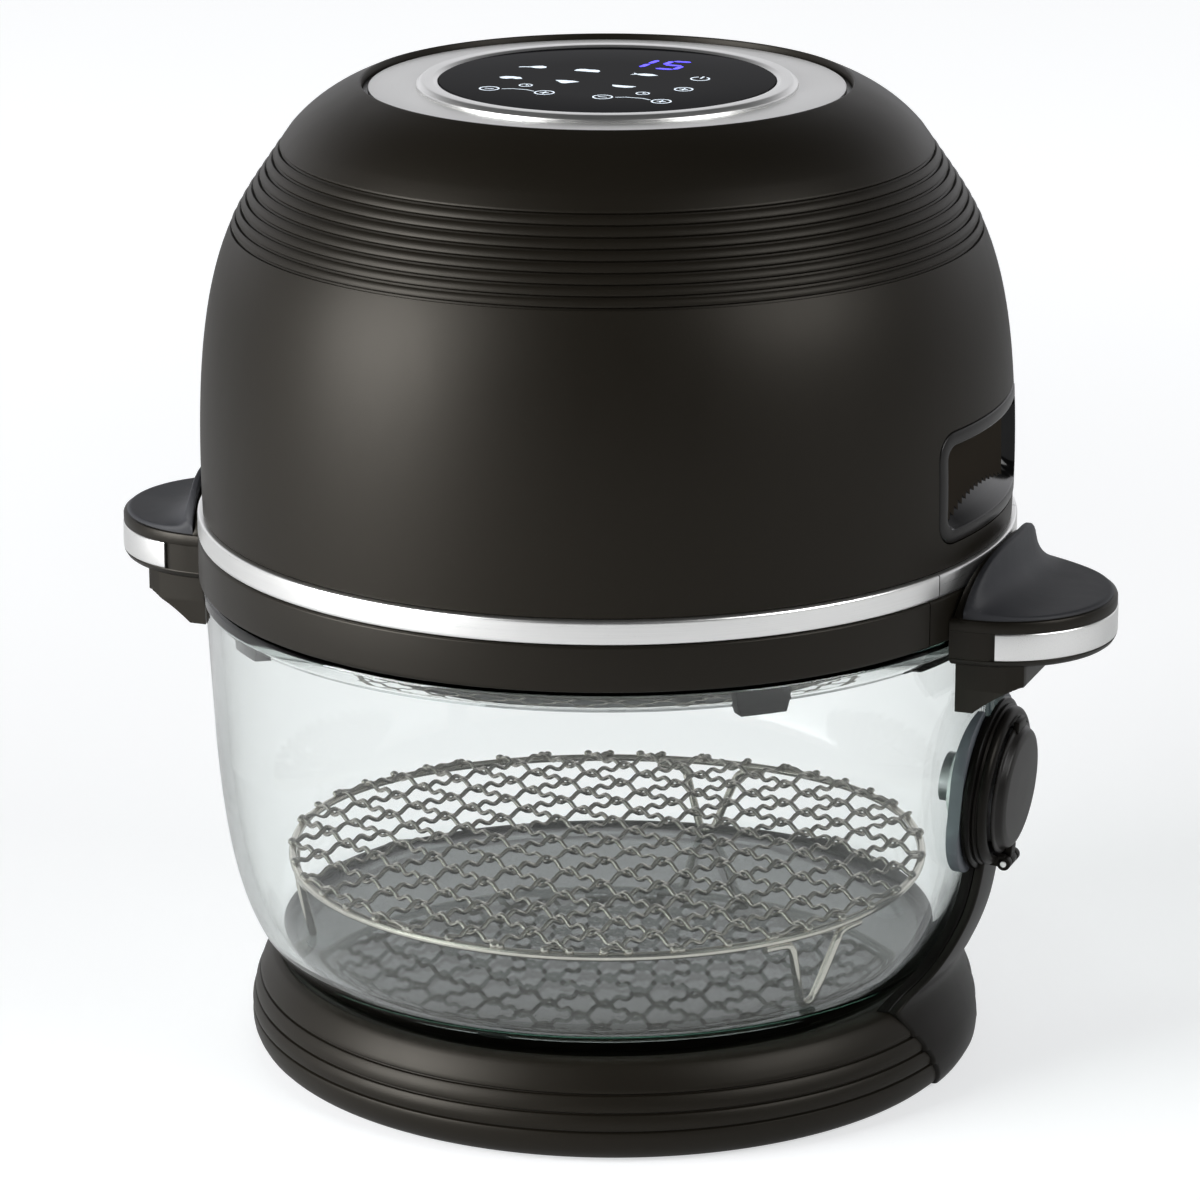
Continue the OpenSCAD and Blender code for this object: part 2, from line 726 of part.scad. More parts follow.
guide_r = bowl_top_r - glass_t - 2;
guide_wall = 6;
tab_low = rim_z - 12;
module tab_wedge(half_low, half_high) {
    along_x(guide_r - 40, 60) polygon([[-half_low, tab_low], [half_low, tab_low], [half_high, rim_z - 3],
        [half_high, rim_z],
        [-half_high, rim_z], [-half_high, rim_z - 3]]);
}

module lid_guide() {
    color("#1d1b19") {
        ring(guide_r, guide_r - guide_wall, rim_z - 1.5, flange_z - rim_z + 1.5);
        intersection() {
            ring(guide_r, guide_r - guide_wall, tab_low, rim_z - 1 - tab_low);
            union() {
                for (a = [-47, 47, 133, 227]) rotate(a) tab_wedge(8.5, 11);
                for (a = [0, 180]) rotate(a) translate([0, 0, 2.5]) tab_wedge(46, 51);
            }
        }
    }
}

pan_top = flange_z + 36;
module reflector_pan() {
    color("#c4c6c8") difference() {
        turned([[dome_r - 4, flange_z], [dome_r - 4, flange_z + pan_t], [pan_r + pan_t, flange_z + pan_t],
            [pan_r + pan_t - 4, pan_top + pan_t], [shaft_r + 4, pan_top + pan_t], [shaft_r + 4, pan_top],
            [pan_r - 4, pan_top], [pan_r, flange_z]]);
        for (a = [45:90:315]) rotate(a) translate([lid_screw_r, 0, flange_z - 1])
            cylinder(r = screw_r, h = pan_t + 2, $fn = fn_small);
    }
}

guard_z = rim_z - 14;
guard_r = pan_r - 2;
guard_wire = 2;
guard_rings = 8;
module guard_grille() {
    color("#b6b6b2") {
        for (k = [1:guard_rings]) ring(guard_r * k / guard_rings, guard_r * k / guard_rings - guard_wire,
            guard_z, guard_wire, fn_mid);
        for (a = [0:45:135]) rotate(a) translate([-guard_r + 0.5, -1, guard_z + 1.2])
            cube([2 * guard_r - 1, guard_wire, guard_wire]);
        for (a = [22.5:90:292.5]) rotate(a) {
            translate([guard_r - 2.5, -3, guard_z + 0.8]) cube([2, 6, flange_z - guard_z]);
            translate([guard_r - 2.5, -3, flange_z - 1.2]) cube([7, 6, 1]);
        }
    }
}

element_z = guard_z + 18;
gap_angle = 24;
module heating_ring() {
    color("#e8dcc8") {
        rotate(90 + gap_angle / 2) rotate_extrude(angle = 360 - gap_angle, $fn = fn_big)
            translate([element_r, element_z]) circle(r = tube_r, $fn = fn_small);
        for (s = [-1, 1]) rotate(90 + s * (gap_angle / 2 - 1.5)) translate([element_r, 0, element_z - tube_r])
            cylinder(r = 5, h = pan_top - element_z + tube_r, $fn = fn_small);
    }
}

module ring_clips() {
    color("#b9bcc0") for (a = [-30, 150, 240]) rotate(a) difference() {
        translate([element_r - tube_r - 2, -2.5, element_z]) cube([2 * tube_r + 4, 5, pan_top - element_z]);
        translate([element_r, -5, element_z]) rotate([-90, 0, 0])
            cylinder(r = tube_r + gap, h = 10, $fn = fn_mid);
        translate([element_r - tube_r - 0.5, -3, element_z])
            cube([2 * tube_r + 1, 6, pan_top - element_z - 2]);
    }
}

deck_t = 1.5;
deck_r = dome_r - vent_depth - 7.5;
motor_z = deck_z + hub_r + 9;
module motor_deck() {
    color("#aeb2b6") {
        turned([[shaft_r + 14, deck_z], [deck_r - deck_t, deck_z], [deck_r - deck_t, shelf_z + shelf_t],
            [deck_r + 11, shelf_z + shelf_t], [deck_r + 11, shelf_z + shelf_t + deck_t],
            [deck_r, shelf_z + shelf_t + deck_t], [deck_r, deck_z + deck_t],
                [shaft_r + 14, deck_z + deck_t]]);
        for (a = [0:120:240]) rotate(a) translate([motor_r + 24, 0, deck_z + 1])
            cylinder(r = 4, h = motor_z - deck_z, $fn = fn_small);
        ring(motor_r + 29, 12, motor_z, 2, fn_mid);
    }
}

module fan_motor() {
    color("#5f6468") difference() {
        translate([0, 0, motor_z + 2]) cylinder(r = motor_r, h = motor_h, $fn = fn_mid);
        translate([0, 0, motor_z]) cylinder(r = shaft_r + run, h = motor_h + 10, $fn = fn_mid);
    }
}

module power_board() {
    color("#2f6b3c") translate([-board_w / 2, -motor_r - 4 - board_d, motor_z + 2]) {
        cube([board_w, board_d, 1.6]);
        translate([board_w * 0.1, board_d * 0.2, 1]) cube([board_w * 0.3, board_d * 0.5, board_d * 0.4]);
        translate([board_w * 0.55, board_d * 0.25, 1]) cube([board_w * 0.25, board_d * 0.4, board_d * 0.5]);
    }
}

board_z = carrier_z + 0.2;
module display_board() {
    color("#2f6b3c") {
        translate([0, 0, board_z]) cylinder(r = panel_r - 4, h = 1.6, $fn = fn_mid);
        translate([-panel_r / 4, panel_r / 8, board_z + 1]) cube([panel_r * 0.7, panel_r / 4, 3.2]);
    }
}

module top_carrier() {
    color("#171615") turned([[0, carrier_z - 2.8], [top_r - 0.4, carrier_z - 2.8], [top_r - 0.4, disc_z],
        [top_r - 3, disc_z], [top_r - 3, carrier_z], [panel_r + 1, carrier_z], [panel_r + 1, disc_z - 0.2],
        [panel_r - 1.5, disc_z - 0.2], [panel_r - 1.5, carrier_z], [0, carrier_z]]);
}

module top_disc() {
    color("#c9cac9") ring(disc_r, panel_r + 0.8, disc_z, 1.2);
}

module panel_bezel() {
    color("#dcdcda") turned([[panel_r + 0.3, disc_z + 1.2], [bezel_r, disc_z + 1.2], [bezel_r, disc_z + 2.2],
        [bezel_r - 1.5, disc_z + 1.2 + bezel_up], [panel_r + 1.8, disc_z + 1.2 + bezel_up],
            [panel_r + 0.3, disc_z + 3]]);
}

panel_t = 3.3;
module touch_panel() {
    color("#0a0a0c") translate([0, 0, disc_z - 0.2]) cylinder(r = panel_r, h = panel_t, $fn = fn_big);
}

// Vents, modelled on the right and mirrored for the left
module vent_frame(left) {
    color("#101010") mirrored(left) difference() {
        union() {
            intersection() {
                difference() {
                    bend(0.9);
                    bend(0.1);
                }
                translate([0, 0, vent_z]) along_x(dome_r - 30, 60) rounded(vent_w, vent_h, 9);
            }
            intersection() {
                bend(0.4);
                translate([0, 0, vent_z]) along_x(dome_r - vent_depth - 6, 60)
                    rounded(vent_w - 4.6, vent_h - 4.6, 6.7);
            }
        }
        translate([0, 0, vent_z]) along_x(dome_r - vent_depth - 4, 60)
            rounded(vent_w - 2 * vent_border, vent_h - 2 * vent_border, 5);
    }
}

module bend(d) {
    turned(concat([[0, dome_z]], [for (p = shifted(dome_side, d)) if (p[1] < top_z - 50) p],
        [[0, top_z - 50]]));
}

module vent_fins(left) {
    fin_span = vent_w - 2 * vent_border - 10;
    color("#161616") mirrored(left) for (k = [0:fin_count - 1])
        translate([dome_r - vent_depth - 4, -fin_span / 2 + fin_span * k / (fin_count - 1) - 0.8,
            vent_z - vent_h / 2 + vent_border])
            cube([5, 1.6, vent_h - 2 * vent_border]);
}

// Handles, modelled on the right and mirrored for the left
module handle_plan(inset = 0) {
    intersection() {
        translate([band_r, 0]) scale([(handle_reach - inset) / (handle_half - inset), 1])
            circle(r = handle_half - inset, $fn = fn_big);
        translate([band_r - 10, -handle_half - 5]) square([handle_reach + 20, 2 * handle_half + 10]);
    }
}

// What a handle stays clear of: the lid's round wall
module lid_wall(grow) {
    translate([0, 0, handle_z - bracket_drop - 5]) cylinder(r = band_r + grow, h = 80, $fn = fn_big);
}

module handle_body(left) {
    color("#242220") mirrored(left) difference() {
        translate([0, 0, handle_z]) linear_extrude(pad_z - handle_z) handle_plan();
        lid_wall(0.1);
        difference() {
            translate([0, 0, trim_z]) linear_extrude(trim_h) handle_plan(-3);
            translate([0, 0, trim_z - 1]) linear_extrude(trim_h + 2) handle_plan(trim_t);
            translate([band_r - 20, -60, trim_z - 1]) cube([29.5, 120, trim_h + 2]);
        }
        bracket_shape(0.1);
    }
}

bracket_low = handle_z - bracket_drop;
module bracket_shape(grow) {
    translate([0, handle_half - 4 + grow, 0]) rotate([90, 0, 0]) linear_extrude(2 * (handle_half - 4 + grow))
        polygon([[band_r - 10, bracket_low], [band_r + 0.6, bracket_low], [band_r + 5, bracket_low + 3.5],
        [band_r + 10.5, bracket_low + 6.6], [band_r + 17 + grow, bracket_low + 8],
            [band_r + 17 + grow, trim_z + 2 + grow],
        [band_r - 10, trim_z + 2 + grow]]);
}

module handle_bracket(left) {
    color("#2a2826") mirrored(left) difference() {
        intersection() {
            bracket_shape(0);
            translate([0, 0, bracket_low - 1]) linear_extrude(60) handle_plan(trim_t + gap);
        }
        lid_wall(0.6);
    }
}

module handle_trim(left) {
    color("#dededc") mirrored(left) difference() {
        translate([0, 0, trim_z + 0.05]) linear_extrude(trim_h - 0.1) handle_plan(-0.2);
        translate([0, 0, trim_z - 1]) linear_extrude(trim_h + 2) handle_plan(trim_t - 0.1);
        translate([band_r - 20, -60, trim_z - 1]) cube([29.6, 120, trim_h + 2]);
    }
}

handle_tip = band_r + handle_reach;
lip_r = band_r + 4;
module handle_pad(left) {
    flat_z = pad_z + pad_t;
    lip_z = flat_z + guard_up;
    color("#3e4044") mirrored(left) intersection() {
        turned(concat([[lip_r, pad_z], [handle_tip + 5, pad_z], [handle_tip + 5, flat_z]],
            curve([lip_r + 24, flat_z], [lip_r + 9, flat_z], [lip_r + 4.4, flat_z + 3],
                [lip_r + 3.2, lip_z - 1], 8),
            [[lip_r + 2.6, lip_z], [lip_r + 0.8, lip_z], [lip_r, lip_z - 1]]));
        translate([0, 0, pad_z - 1]) linear_extrude(60) handle_plan(0.8);
        along_x(band_r, 60) polygon(concat([[-handle_half, pad_z], [handle_half, pad_z],
            [handle_half, flat_z]],
            curve([handle_half - 6, flat_z + 1], [handle_half - 12, flat_z + 6],
                [handle_half - 12, lip_z], [12, lip_z], 8),
            curve([-12, lip_z], [12 - handle_half, lip_z], [12 - handle_half, flat_z + 6],
                [6 - handle_half, flat_z + 1], 8),
            [[-handle_half, flat_z]]));
    }
}

gland_z = dome_z + 17;
gland_r = 5.2;
gland_y = lookup(gland_z, dome_radius) - dome_wall - gap - 3;
module gland_hole(r) {
    translate([0, dome_r - 30, gland_z]) rotate([-90, 0, 0]) cylinder(r = r, h = 60, $fn = fn_small);
}

module mains_gland() {
    color("#1a1a1a") difference() {
        translate([0, gland_y, gland_z]) rotate([-90, 0, 0]) {
            cylinder(r = gland_r - 0.1, h = band_r - 0.2 - gland_y, $fn = fn_small);
            cylinder(r = gland_r + 2, h = 3, $fn = fn_small);
        }
        gland_hole(gland_r - 2.2);
    }
}

module lid_screws() {
    color("silver") for (a = [45:90:315]) rotate(a) translate([lid_screw_r, 0, flange_z - 1.2])
        screw(screw_r + 1.3, 1.2, screw_r - 0.3, pan_t + shelf_t);
}

// Fan
fan_z = pan_top - 17;
fan_h = 9;
cool_z = deck_z + 4;
module fan_shaft() {
    color("#c8ccd0") translate([0, 0, fan_z - 6])
        cylinder(r = shaft_r, h = motor_z + 2 + motor_h - fan_z + 2, $fn = fn_mid);
}

module blades(r, z, h) {
    translate([0, 0, z]) difference() {
        union() {
            cylinder(r = hub_r, h = h, $fn = fn_mid);
            for (a = [0:360 / blade_count:359]) rotate(a) translate([hub_r - 1, 0, h / 2])
                rotate([blade_pitch, 0, 0])
                translate([0, -h * 0.62, -0.5]) cube([r - hub_r, h * 1.24, 1]);
        }
        translate([0, 0, -1]) cylinder(r = shaft_r + 0.02, h = h + 2, $fn = fn_mid);
    }
}

module fan_blade() {
    color("#b9bcc0") blades(fan_r, fan_z, fan_h);
}

module cooling_fan() {
    color("#8d9196") blades(motor_r + hub_r, cool_z, fan_h - 1);
}

module shaft_nut() {
    color("silver") translate([0, 0, fan_z - 4.5]) difference() {
        cylinder(r = 7.5, h = 4.5, $fn = 6);
        translate([0, 0, -1]) cylinder(r = shaft_r + 0.02, h = 8, $fn = fn_mid);
    }
}

base_ring();
base_plate();
base_feet();
base_screws();
bowl_pads();
battery_box();
battery_cells();
drive_arm();
arm_cover();
foot_cover();
saddle_pad();
drive_motor();
coupling_bush();
cap_pin();
arm_screws();
drive_coupling();
drive_cap();
glass_bowl();
port_bush();
port_gasket();
spit_socket();
rack_rim();
rack_mesh();
rack_legs();
dome_shell();
silver_band();
skirt_ring();
rim_seal();
lid_guide();
reflector_pan();
guard_grille();
heating_ring();
ring_clips();
motor_deck();
fan_motor();
power_board();
display_board();
top_carrier();
top_disc();
panel_bezel();
touch_panel();
vent_frame(false);  // vent_frame_right
vent_frame(true);  // vent_frame_left
vent_fins(false);  // vent_fins_right
vent_fins(true);  // vent_fins_left
handle_body(false);  // handle_body_right
handle_body(true);  // handle_body_left
handle_bracket(false);  // handle_bracket_right
handle_bracket(true);  // handle_bracket_left
handle_trim(false);  // handle_trim_right
handle_trim(true);  // handle_trim_left
handle_pad(false);  // handle_pad_right
handle_pad(true);  // handle_pad_left
mains_gland();
lid_screws();
fan_shaft();
fan_blade();
cooling_fan();
shaft_nut();
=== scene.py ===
"""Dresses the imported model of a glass-bowl halogen oven: a ribbed lid on a glass bowl with a wire rack.

Sizes in the outlines are millimetres in the model's frame, with +Z up and the control panel facing -Y.
"""

import json
import math

import bmesh
import bpy
from bpy.props import FloatProperty, FloatVectorProperty, IntProperty, PointerProperty
from bpy.types import Operator, Panel, PropertyGroup
from mathutils import Matrix, Vector

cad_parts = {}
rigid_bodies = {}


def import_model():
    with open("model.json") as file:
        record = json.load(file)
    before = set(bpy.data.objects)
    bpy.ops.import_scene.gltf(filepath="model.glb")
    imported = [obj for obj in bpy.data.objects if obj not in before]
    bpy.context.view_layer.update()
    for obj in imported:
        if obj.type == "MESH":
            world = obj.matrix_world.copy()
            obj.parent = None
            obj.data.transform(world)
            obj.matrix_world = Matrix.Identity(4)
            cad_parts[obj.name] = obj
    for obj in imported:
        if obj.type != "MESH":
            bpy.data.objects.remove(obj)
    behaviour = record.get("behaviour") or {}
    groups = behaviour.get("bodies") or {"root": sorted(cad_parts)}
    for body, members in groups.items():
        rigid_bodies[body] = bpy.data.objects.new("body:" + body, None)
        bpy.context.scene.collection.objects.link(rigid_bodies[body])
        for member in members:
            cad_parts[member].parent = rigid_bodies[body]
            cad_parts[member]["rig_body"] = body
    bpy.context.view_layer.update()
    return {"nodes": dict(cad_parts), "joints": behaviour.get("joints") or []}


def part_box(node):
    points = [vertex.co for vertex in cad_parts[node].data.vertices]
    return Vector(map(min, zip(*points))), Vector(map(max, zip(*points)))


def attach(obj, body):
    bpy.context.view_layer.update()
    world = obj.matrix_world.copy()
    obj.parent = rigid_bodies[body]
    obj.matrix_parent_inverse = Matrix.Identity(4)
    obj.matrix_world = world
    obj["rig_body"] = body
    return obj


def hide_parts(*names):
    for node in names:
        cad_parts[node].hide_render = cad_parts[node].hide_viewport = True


bl_info = {
    "name": "Halogen Oven",
    "version": (1, 0, 0),
    "blender": (4, 5, 0),
    "location": "3D View > Sidebar > Oven",
    "description": "Builds the looks of a glass-bowl halogen oven around its packed model",
    "category": "Object",
}

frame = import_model()
MM = 0.001
X, Z = 0, 2


def low(node, axis):
    """The lowest place of a CAD node along an axis, in millimetres."""
    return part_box(node)[0][axis] / MM


def high(node, axis):
    """The highest place of a CAD node along an axis, in millimetres."""
    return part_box(node)[1][axis] / MM


BAND_R = high("silver_band", X)
DOME_R = BAND_R - 2
DOME_Z = low("dome_shell", Z)
TOP_Z = high("dome_shell", Z)
RIM_Z = high("glass_bowl", Z)
RIM_R = high("glass_bowl", X)
BOWL_Z = low("glass_bowl", Z)
SKIRT_Z = low("skirt_ring", Z)
BASE_Z = high("base_ring", Z)
RING_Z = low("base_ring", Z)
BASE_SHIFT = (high("base_ring", X) + low("base_ring", X)) / 2
RACK_Z = (high("rack_rim", Z) + low("rack_rim", Z)) / 2
RACK_WIRE_R = (high("rack_rim", Z) - low("rack_rim", Z)) / 2
RACK_R = high("rack_rim", X) - RACK_WIRE_R
VENT_Z = (high("vent_frame_right", Z) + low("vent_frame_right", Z)) / 2
TRIM_Z = low("handle_trim_right", Z)
HANDLE_Z = low("handle_body_right", Z)
HANDLE_HALF = high("handle_pad_right", 1) + 0.8
HANDLE_REACH = high("handle_body_right", X) - BAND_R
DISC_R = high("top_disc", X)
DISC_Z = high("top_disc", Z)
BEZEL_R = high("panel_bezel", X)
PANEL_R = high("touch_panel", X)
PANEL_Z = high("touch_panel", Z)

SPIN = next(joint for joint in frame["joints"] if joint["name"] == "drive_spin")
POD = Matrix.Translation(SPIN["pos_m"]) @ Matrix.Rotation(math.asin(-SPIN["axis"][2]), 4, "Y")
POD_LATHE = POD @ Matrix.Rotation(math.pi / 2, 4, "Y")


# Settings


class OvenDomeSettings(PropertyGroup):
    """Sizes of the lid's dome."""

    rib_count: IntProperty(name="Grooves", description="Number of grooves round the dome", default=9, min=1)
    rib_pitch: FloatProperty(name="Groove Pitch", description="Distance between neighbouring grooves",
                             default=3.55 * MM, unit="LENGTH")
    rib_depth: FloatProperty(name="Groove Depth", description="Depth of a groove", default=1.2 * MM,
                             unit="LENGTH")
    vent_width: FloatProperty(name="Vent Width", description="Width of a side vent's frame",
                              default=91 * MM, unit="LENGTH")
    vent_height: FloatProperty(name="Vent Height", description="Height of a side vent's frame",
                               default=40 * MM, unit="LENGTH")
    fin_count: IntProperty(name="Fins", description="Number of fins in a side vent", default=15, min=2)


class OvenRackSettings(PropertyGroup):
    """Sizes of the wire rack."""

    wire_radius: FloatProperty(name="Mesh Wire Painted Shade Radius", description="Radius of the crimped mesh wire",
                               default=0.95 * MM, unit="LENGTH")
    pitch: FloatProperty(name="Mesh Pitch", description="Distance between neighbouring mesh wires",
                         default=16.2 * MM, unit="LENGTH")
    half_angle: FloatProperty(name="Half Angle", description="Half the angle between the two families of wires",
                              default=math.radians(49.6), subtype="ANGLE", unit="ROTATION")
    turn: FloatProperty(name="Turn", description="Turn of the mesh about the bowl axis",
                        default=math.radians(17.3), subtype="ANGLE", unit="ROTATION")
    crimp: FloatProperty(name="Crimp Height", description="Height of the waves in a mesh wire",
                         default=1.15 * MM, unit="LENGTH")


class OvenFinishSettings(PropertyGroup):
    """Colours and roughness of the finishes."""

    shell: FloatVectorProperty(name="Shell", description="Colour of the warm black plastic", subtype="COLOR",
                               size=3, default=(0.0050, 0.0040, 0.0025), min=0, max=1)
    shell_rough: FloatProperty(name="Shell Roughness", description="Roughness of the warm black plastic",
                               default=0.42, min=0, max=1, subtype="FACTOR")
    arm: FloatVectorProperty(name="Arm", description="Colour of the drive arm", subtype="COLOR",
                             size=3, default=(0.0040, 0.0036, 0.0032), min=0, max=1)
    pad: FloatVectorProperty(name="Pads", description="Colour of the soft grey pads", subtype="COLOR",
                             size=3, default=(0.030, 0.031, 0.035), min=0, max=1)
    saddle: FloatVectorProperty(name="Saddle Pad", description="Colour of the pad between glass and drive",
                                subtype="COLOR", size=3, default=(0.070, 0.078, 0.090), min=0, max=1)
    silver: FloatVectorProperty(name="Silver", description="Colour of the satin silver trim",
                                subtype="COLOR", size=3, default=(0.93, 0.93, 0.915), min=0, max=1)
    wire: FloatVectorProperty(name="Rack Wire", description="Colour of the plated rack wire",
                              subtype="COLOR", size=3, default=(0.74, 0.70, 0.63), min=0, max=1)
    glass: FloatVectorProperty(name="Glass Tint", description="Tint of the glass in its thickness",
                               subtype="COLOR", size=3, default=(0.42, 0.74, 0.62), min=0, max=1)
    display: FloatVectorProperty(name="Display", description="Colour of the lit digits", subtype="COLOR",
                                 size=3, default=(0.06, 0.035, 1.0), min=0, max=1)


class OvenStageSettings(PropertyGroup):
    """The camera's place and the strength of the lights."""

    camera_place: FloatVectorProperty(name="Camera", description="Place of the camera", size=3,
                                      default=(0.6366, -1.6758, 0.716), subtype="XYZ", unit="LENGTH")
    azimuth: FloatProperty(name="Azimuth", description="How far the camera stands to the right",
                           default=math.radians(20.8), subtype="ANGLE", unit="ROTATION")
    pitch: FloatProperty(name="Pitch", description="How far the camera looks down",
                         default=math.radians(17.03), subtype="ANGLE", unit="ROTATION")
    lens: FloatProperty(name="Lens", description="Focal length on a 36 mm sensor", default=152.4,
                        unit="CAMERA")
    key: FloatProperty(name="Key Light", description="Power of the large light on the left", default=104,
                       unit="POWER")
    side: FloatProperty(name="Side Light", description="Power of the light on the right", default=29,
                        unit="POWER")


# Outlines


def cubic(a, b, c, d, count):
    """Points along a cubic curve from a to d, with control points b and c."""
    a, b, c, d = Vector(a), Vector(b), Vector(c), Vector(d)
    points = []
    for i in range(count + 1):
        t = i / count
        s = 1 - t
        points.append(s * s * s * a + 3 * s * s * t * b + 3 * s * t * t * c + t * t * t * d)
    return points


def soft_corners(corners, steps=4, closed=True):
    """An outline from corners (a, b, reach), where each corner is rounded over its reach."""
    points = []
    last = len(corners) - 1
    for i, (a, b, reach) in enumerate(corners):
        corner = Vector((a, b))
        if reach <= 0 or (not closed and i in (0, last)):
            points.append(corner)
            continue
        back = Vector(corners[i - 1][:2]) - corner
        on = Vector(corners[(i + 1) % len(corners)][:2]) - corner
        start = corner + back.normalized() * min(reach, back.length * 0.48)
        end = corner + on.normalized() * min(reach, on.length * 0.48)
        for k in range(steps + 1):
            t = k / steps
            points.append(start * (1 - t) ** 2 + corner * 2 * t * (1 - t) + end * t * t)
    return points


def smooth_through(points, count):
    """Points along a smooth curve that passes through the given points."""
    points = [Vector(p) for p in points]
    padded = [2 * points[0] - points[1]] + points + [2 * points[-1] - points[-2]]
    curve = []
    for i in range(1, len(padded) - 2):
        p0, p1, p2, p3 = padded[i - 1:i + 3]
        for k in range(count):
            t = k / count
            curve.append(0.5 * (2 * p1 + (p2 - p0) * t + (2 * p0 - 5 * p1 + 4 * p2 - p3) * t * t
                                + (3 * p1 - p0 - 3 * p2 + p3) * t ** 3))
    curve.append(points[-1])
    return curve


def moved_out(points, distance):
    """An outline moved to the right of its direction of travel."""
    moved = []
    for i, point in enumerate(points):
        along = (points[min(i + 1, len(points) - 1)] - points[max(i - 1, 0)]).normalized()
        moved.append(point + distance * Vector((along.y, -along.x)))
    return moved


def radius_at(points, z):
    """The radius of an outline that runs upwards, at height z."""
    for a, b in zip(points, points[1:]):
        if a.y <= z <= b.y:
            return a.x + (b.x - a.x) * (z - a.y) / max(b.y - a.y, 1e-9)
    return points[0].x if z < points[0].y else points[-1].x


def at_depth(points, z, depth):
    """The point of an outline at height z, moved square to the outline into the wall."""
    slope = Vector((radius_at(points, z + 0.5) - radius_at(points, z - 0.5), 1)).normalized()
    return Vector((radius_at(points, z), z)) - depth * Vector((slope.y, -slope.x))


def rounded_rectangle(width, height, radius, steps=8):
    """Points round a rectangle with round corners, centred, in the order Y then Z."""
    points = []
    for quarter, (sy, sz) in enumerate([(1, 1), (-1, 1), (-1, -1), (1, -1)]):
        for k in range(steps + 1):
            angle = math.pi / 2 * (quarter + k / steps)
            points.append((sy * (width / 2 - radius) + radius * math.cos(angle),
                           sz * (height / 2 - radius) + radius * math.sin(angle)))
    dense = []
    for i, (y, z) in enumerate(points):
        y2, z2 = points[(i + 1) % len(points)]
        parts = 12 if abs(y2 - y) > 20 else 5 if abs(z2 - z) > 8 else 1
        dense += [(y + (y2 - y) * k / parts, z + (z2 - z) * k / parts) for k in range(parts)]
    return dense


SIDE = cubic((DOME_R, DOME_Z), (DOME_R + 3.3, TOP_Z - 54.9), (DOME_R - 16.6, TOP_Z - 45.4),
             (DOME_R - 32.3, TOP_Z - 19.6), 90)
CAP = cubic((DOME_R - 32.3, TOP_Z - 19.6), (DOME_R - 39, TOP_Z - 11), (DISC_R + 14.2, TOP_Z - 4.5),
            (DISC_R + 2.2, TOP_Z), 14)
BOWL = cubic((119, BOWL_Z), (136, BOWL_Z + 13), (142, BOWL_Z + 41), (145, BOWL_Z + 84), 40)
BOWL.append(Vector((RIM_R - 0.7, RIM_Z)))
BASE = [Vector(p) for p in ((133, 1.5), (134.8, 5), (135.7, 8), (136, 11.5), (135.7, 16), (134.7, 20.5),
                            (133, 26), (131, 31), (128, 36))]
BASE = smooth_through(BASE, 6)
BASE_GROOVES = [12.5, 19.0, 25.5]


# Meshes


def lathe(outline, steps=192, place=None, start=0.0, sweep=2 * math.pi):
    """A closed outline (radius, height) turned about Z. A third number shifts that point's circle along X."""
    bm = bmesh.new()
    whole = sweep > 2 * math.pi - 1e-6
    count = steps if whole else steps + 1
    rings = []
    for point in outline:
        radius, height = point[0], point[1]
        shift = point[2] if len(point) > 2 else 0
        if radius < 1e-6:
            rings.append([bm.verts.new((shift * MM, 0, height * MM))] * count)
            continue
        rings.append([bm.verts.new(((shift + radius * math.cos(start + sweep * k / steps)) * MM,
                                    radius * math.sin(start + sweep * k / steps) * MM, height * MM))
                      for k in range(count)])
    for a, b in zip(rings, rings[1:] + rings[:1]):
        for k in range(steps):
            corners = [a[k], a[(k + 1) % count], b[(k + 1) % count], b[k]]
            unique = list(dict.fromkeys(corners))
            if len(unique) > 2:
                bm.faces.new(unique)
    if not whole:
        bm.faces.new([ring[0] for ring in rings])
        bm.faces.new([ring[-1] for ring in reversed(rings)])
    if place is not None:
        bmesh.ops.transform(bm, matrix=place, verts=bm.verts)
    return bm


def bridge(bm, loops, closed=True):
    """Joins loops of points in order, each loop closed. Closed also joins the last to the first."""
    rows = [[bm.verts.new(Vector(p) * MM) for p in loop] for loop in loops]
    pairs = list(zip(rows, rows[1:] + rows[:1])) if closed else list(zip(rows, rows[1:]))
    for a, b in pairs:
        for k in range(len(a)):
            bm.faces.new((a[k], a[(k + 1) % len(a)], b[(k + 1) % len(a)], b[k]))
    if not closed:
        bm.faces.new(list(reversed(rows[0])))
        bm.faces.new(rows[-1])
    return rows


def slab(bm, top, bottom):
    """A solid between two grids of points that have the same rows and columns."""
    upper = [[bm.verts.new(Vector(p) * MM) for p in row] for row in top]
    lower = [[bm.verts.new(Vector(p) * MM) for p in row] for row in bottom]
    rows, columns = len(top), len(top[0])
    for grid, flip in ((upper, False), (lower, True)):
        for i in range(rows - 1):
            for k in range(columns - 1):
                face = [grid[i][k], grid[i][k + 1], grid[i + 1][k + 1], grid[i + 1][k]]
                bm.faces.new(face[::-1] if flip else face)
    edge = [(0, k) for k in range(columns - 1)] + [(i, columns - 1) for i in range(rows - 1)]
    edge += [(rows - 1, k) for k in range(columns - 1, 0, -1)] + [(i, 0) for i in range(rows - 1, 0, -1)]
    for (i, k), (m, n) in zip(edge, edge[1:] + edge[:1]):
        bm.faces.new((upper[m][n], upper[i][k], lower[i][k], lower[m][n]))


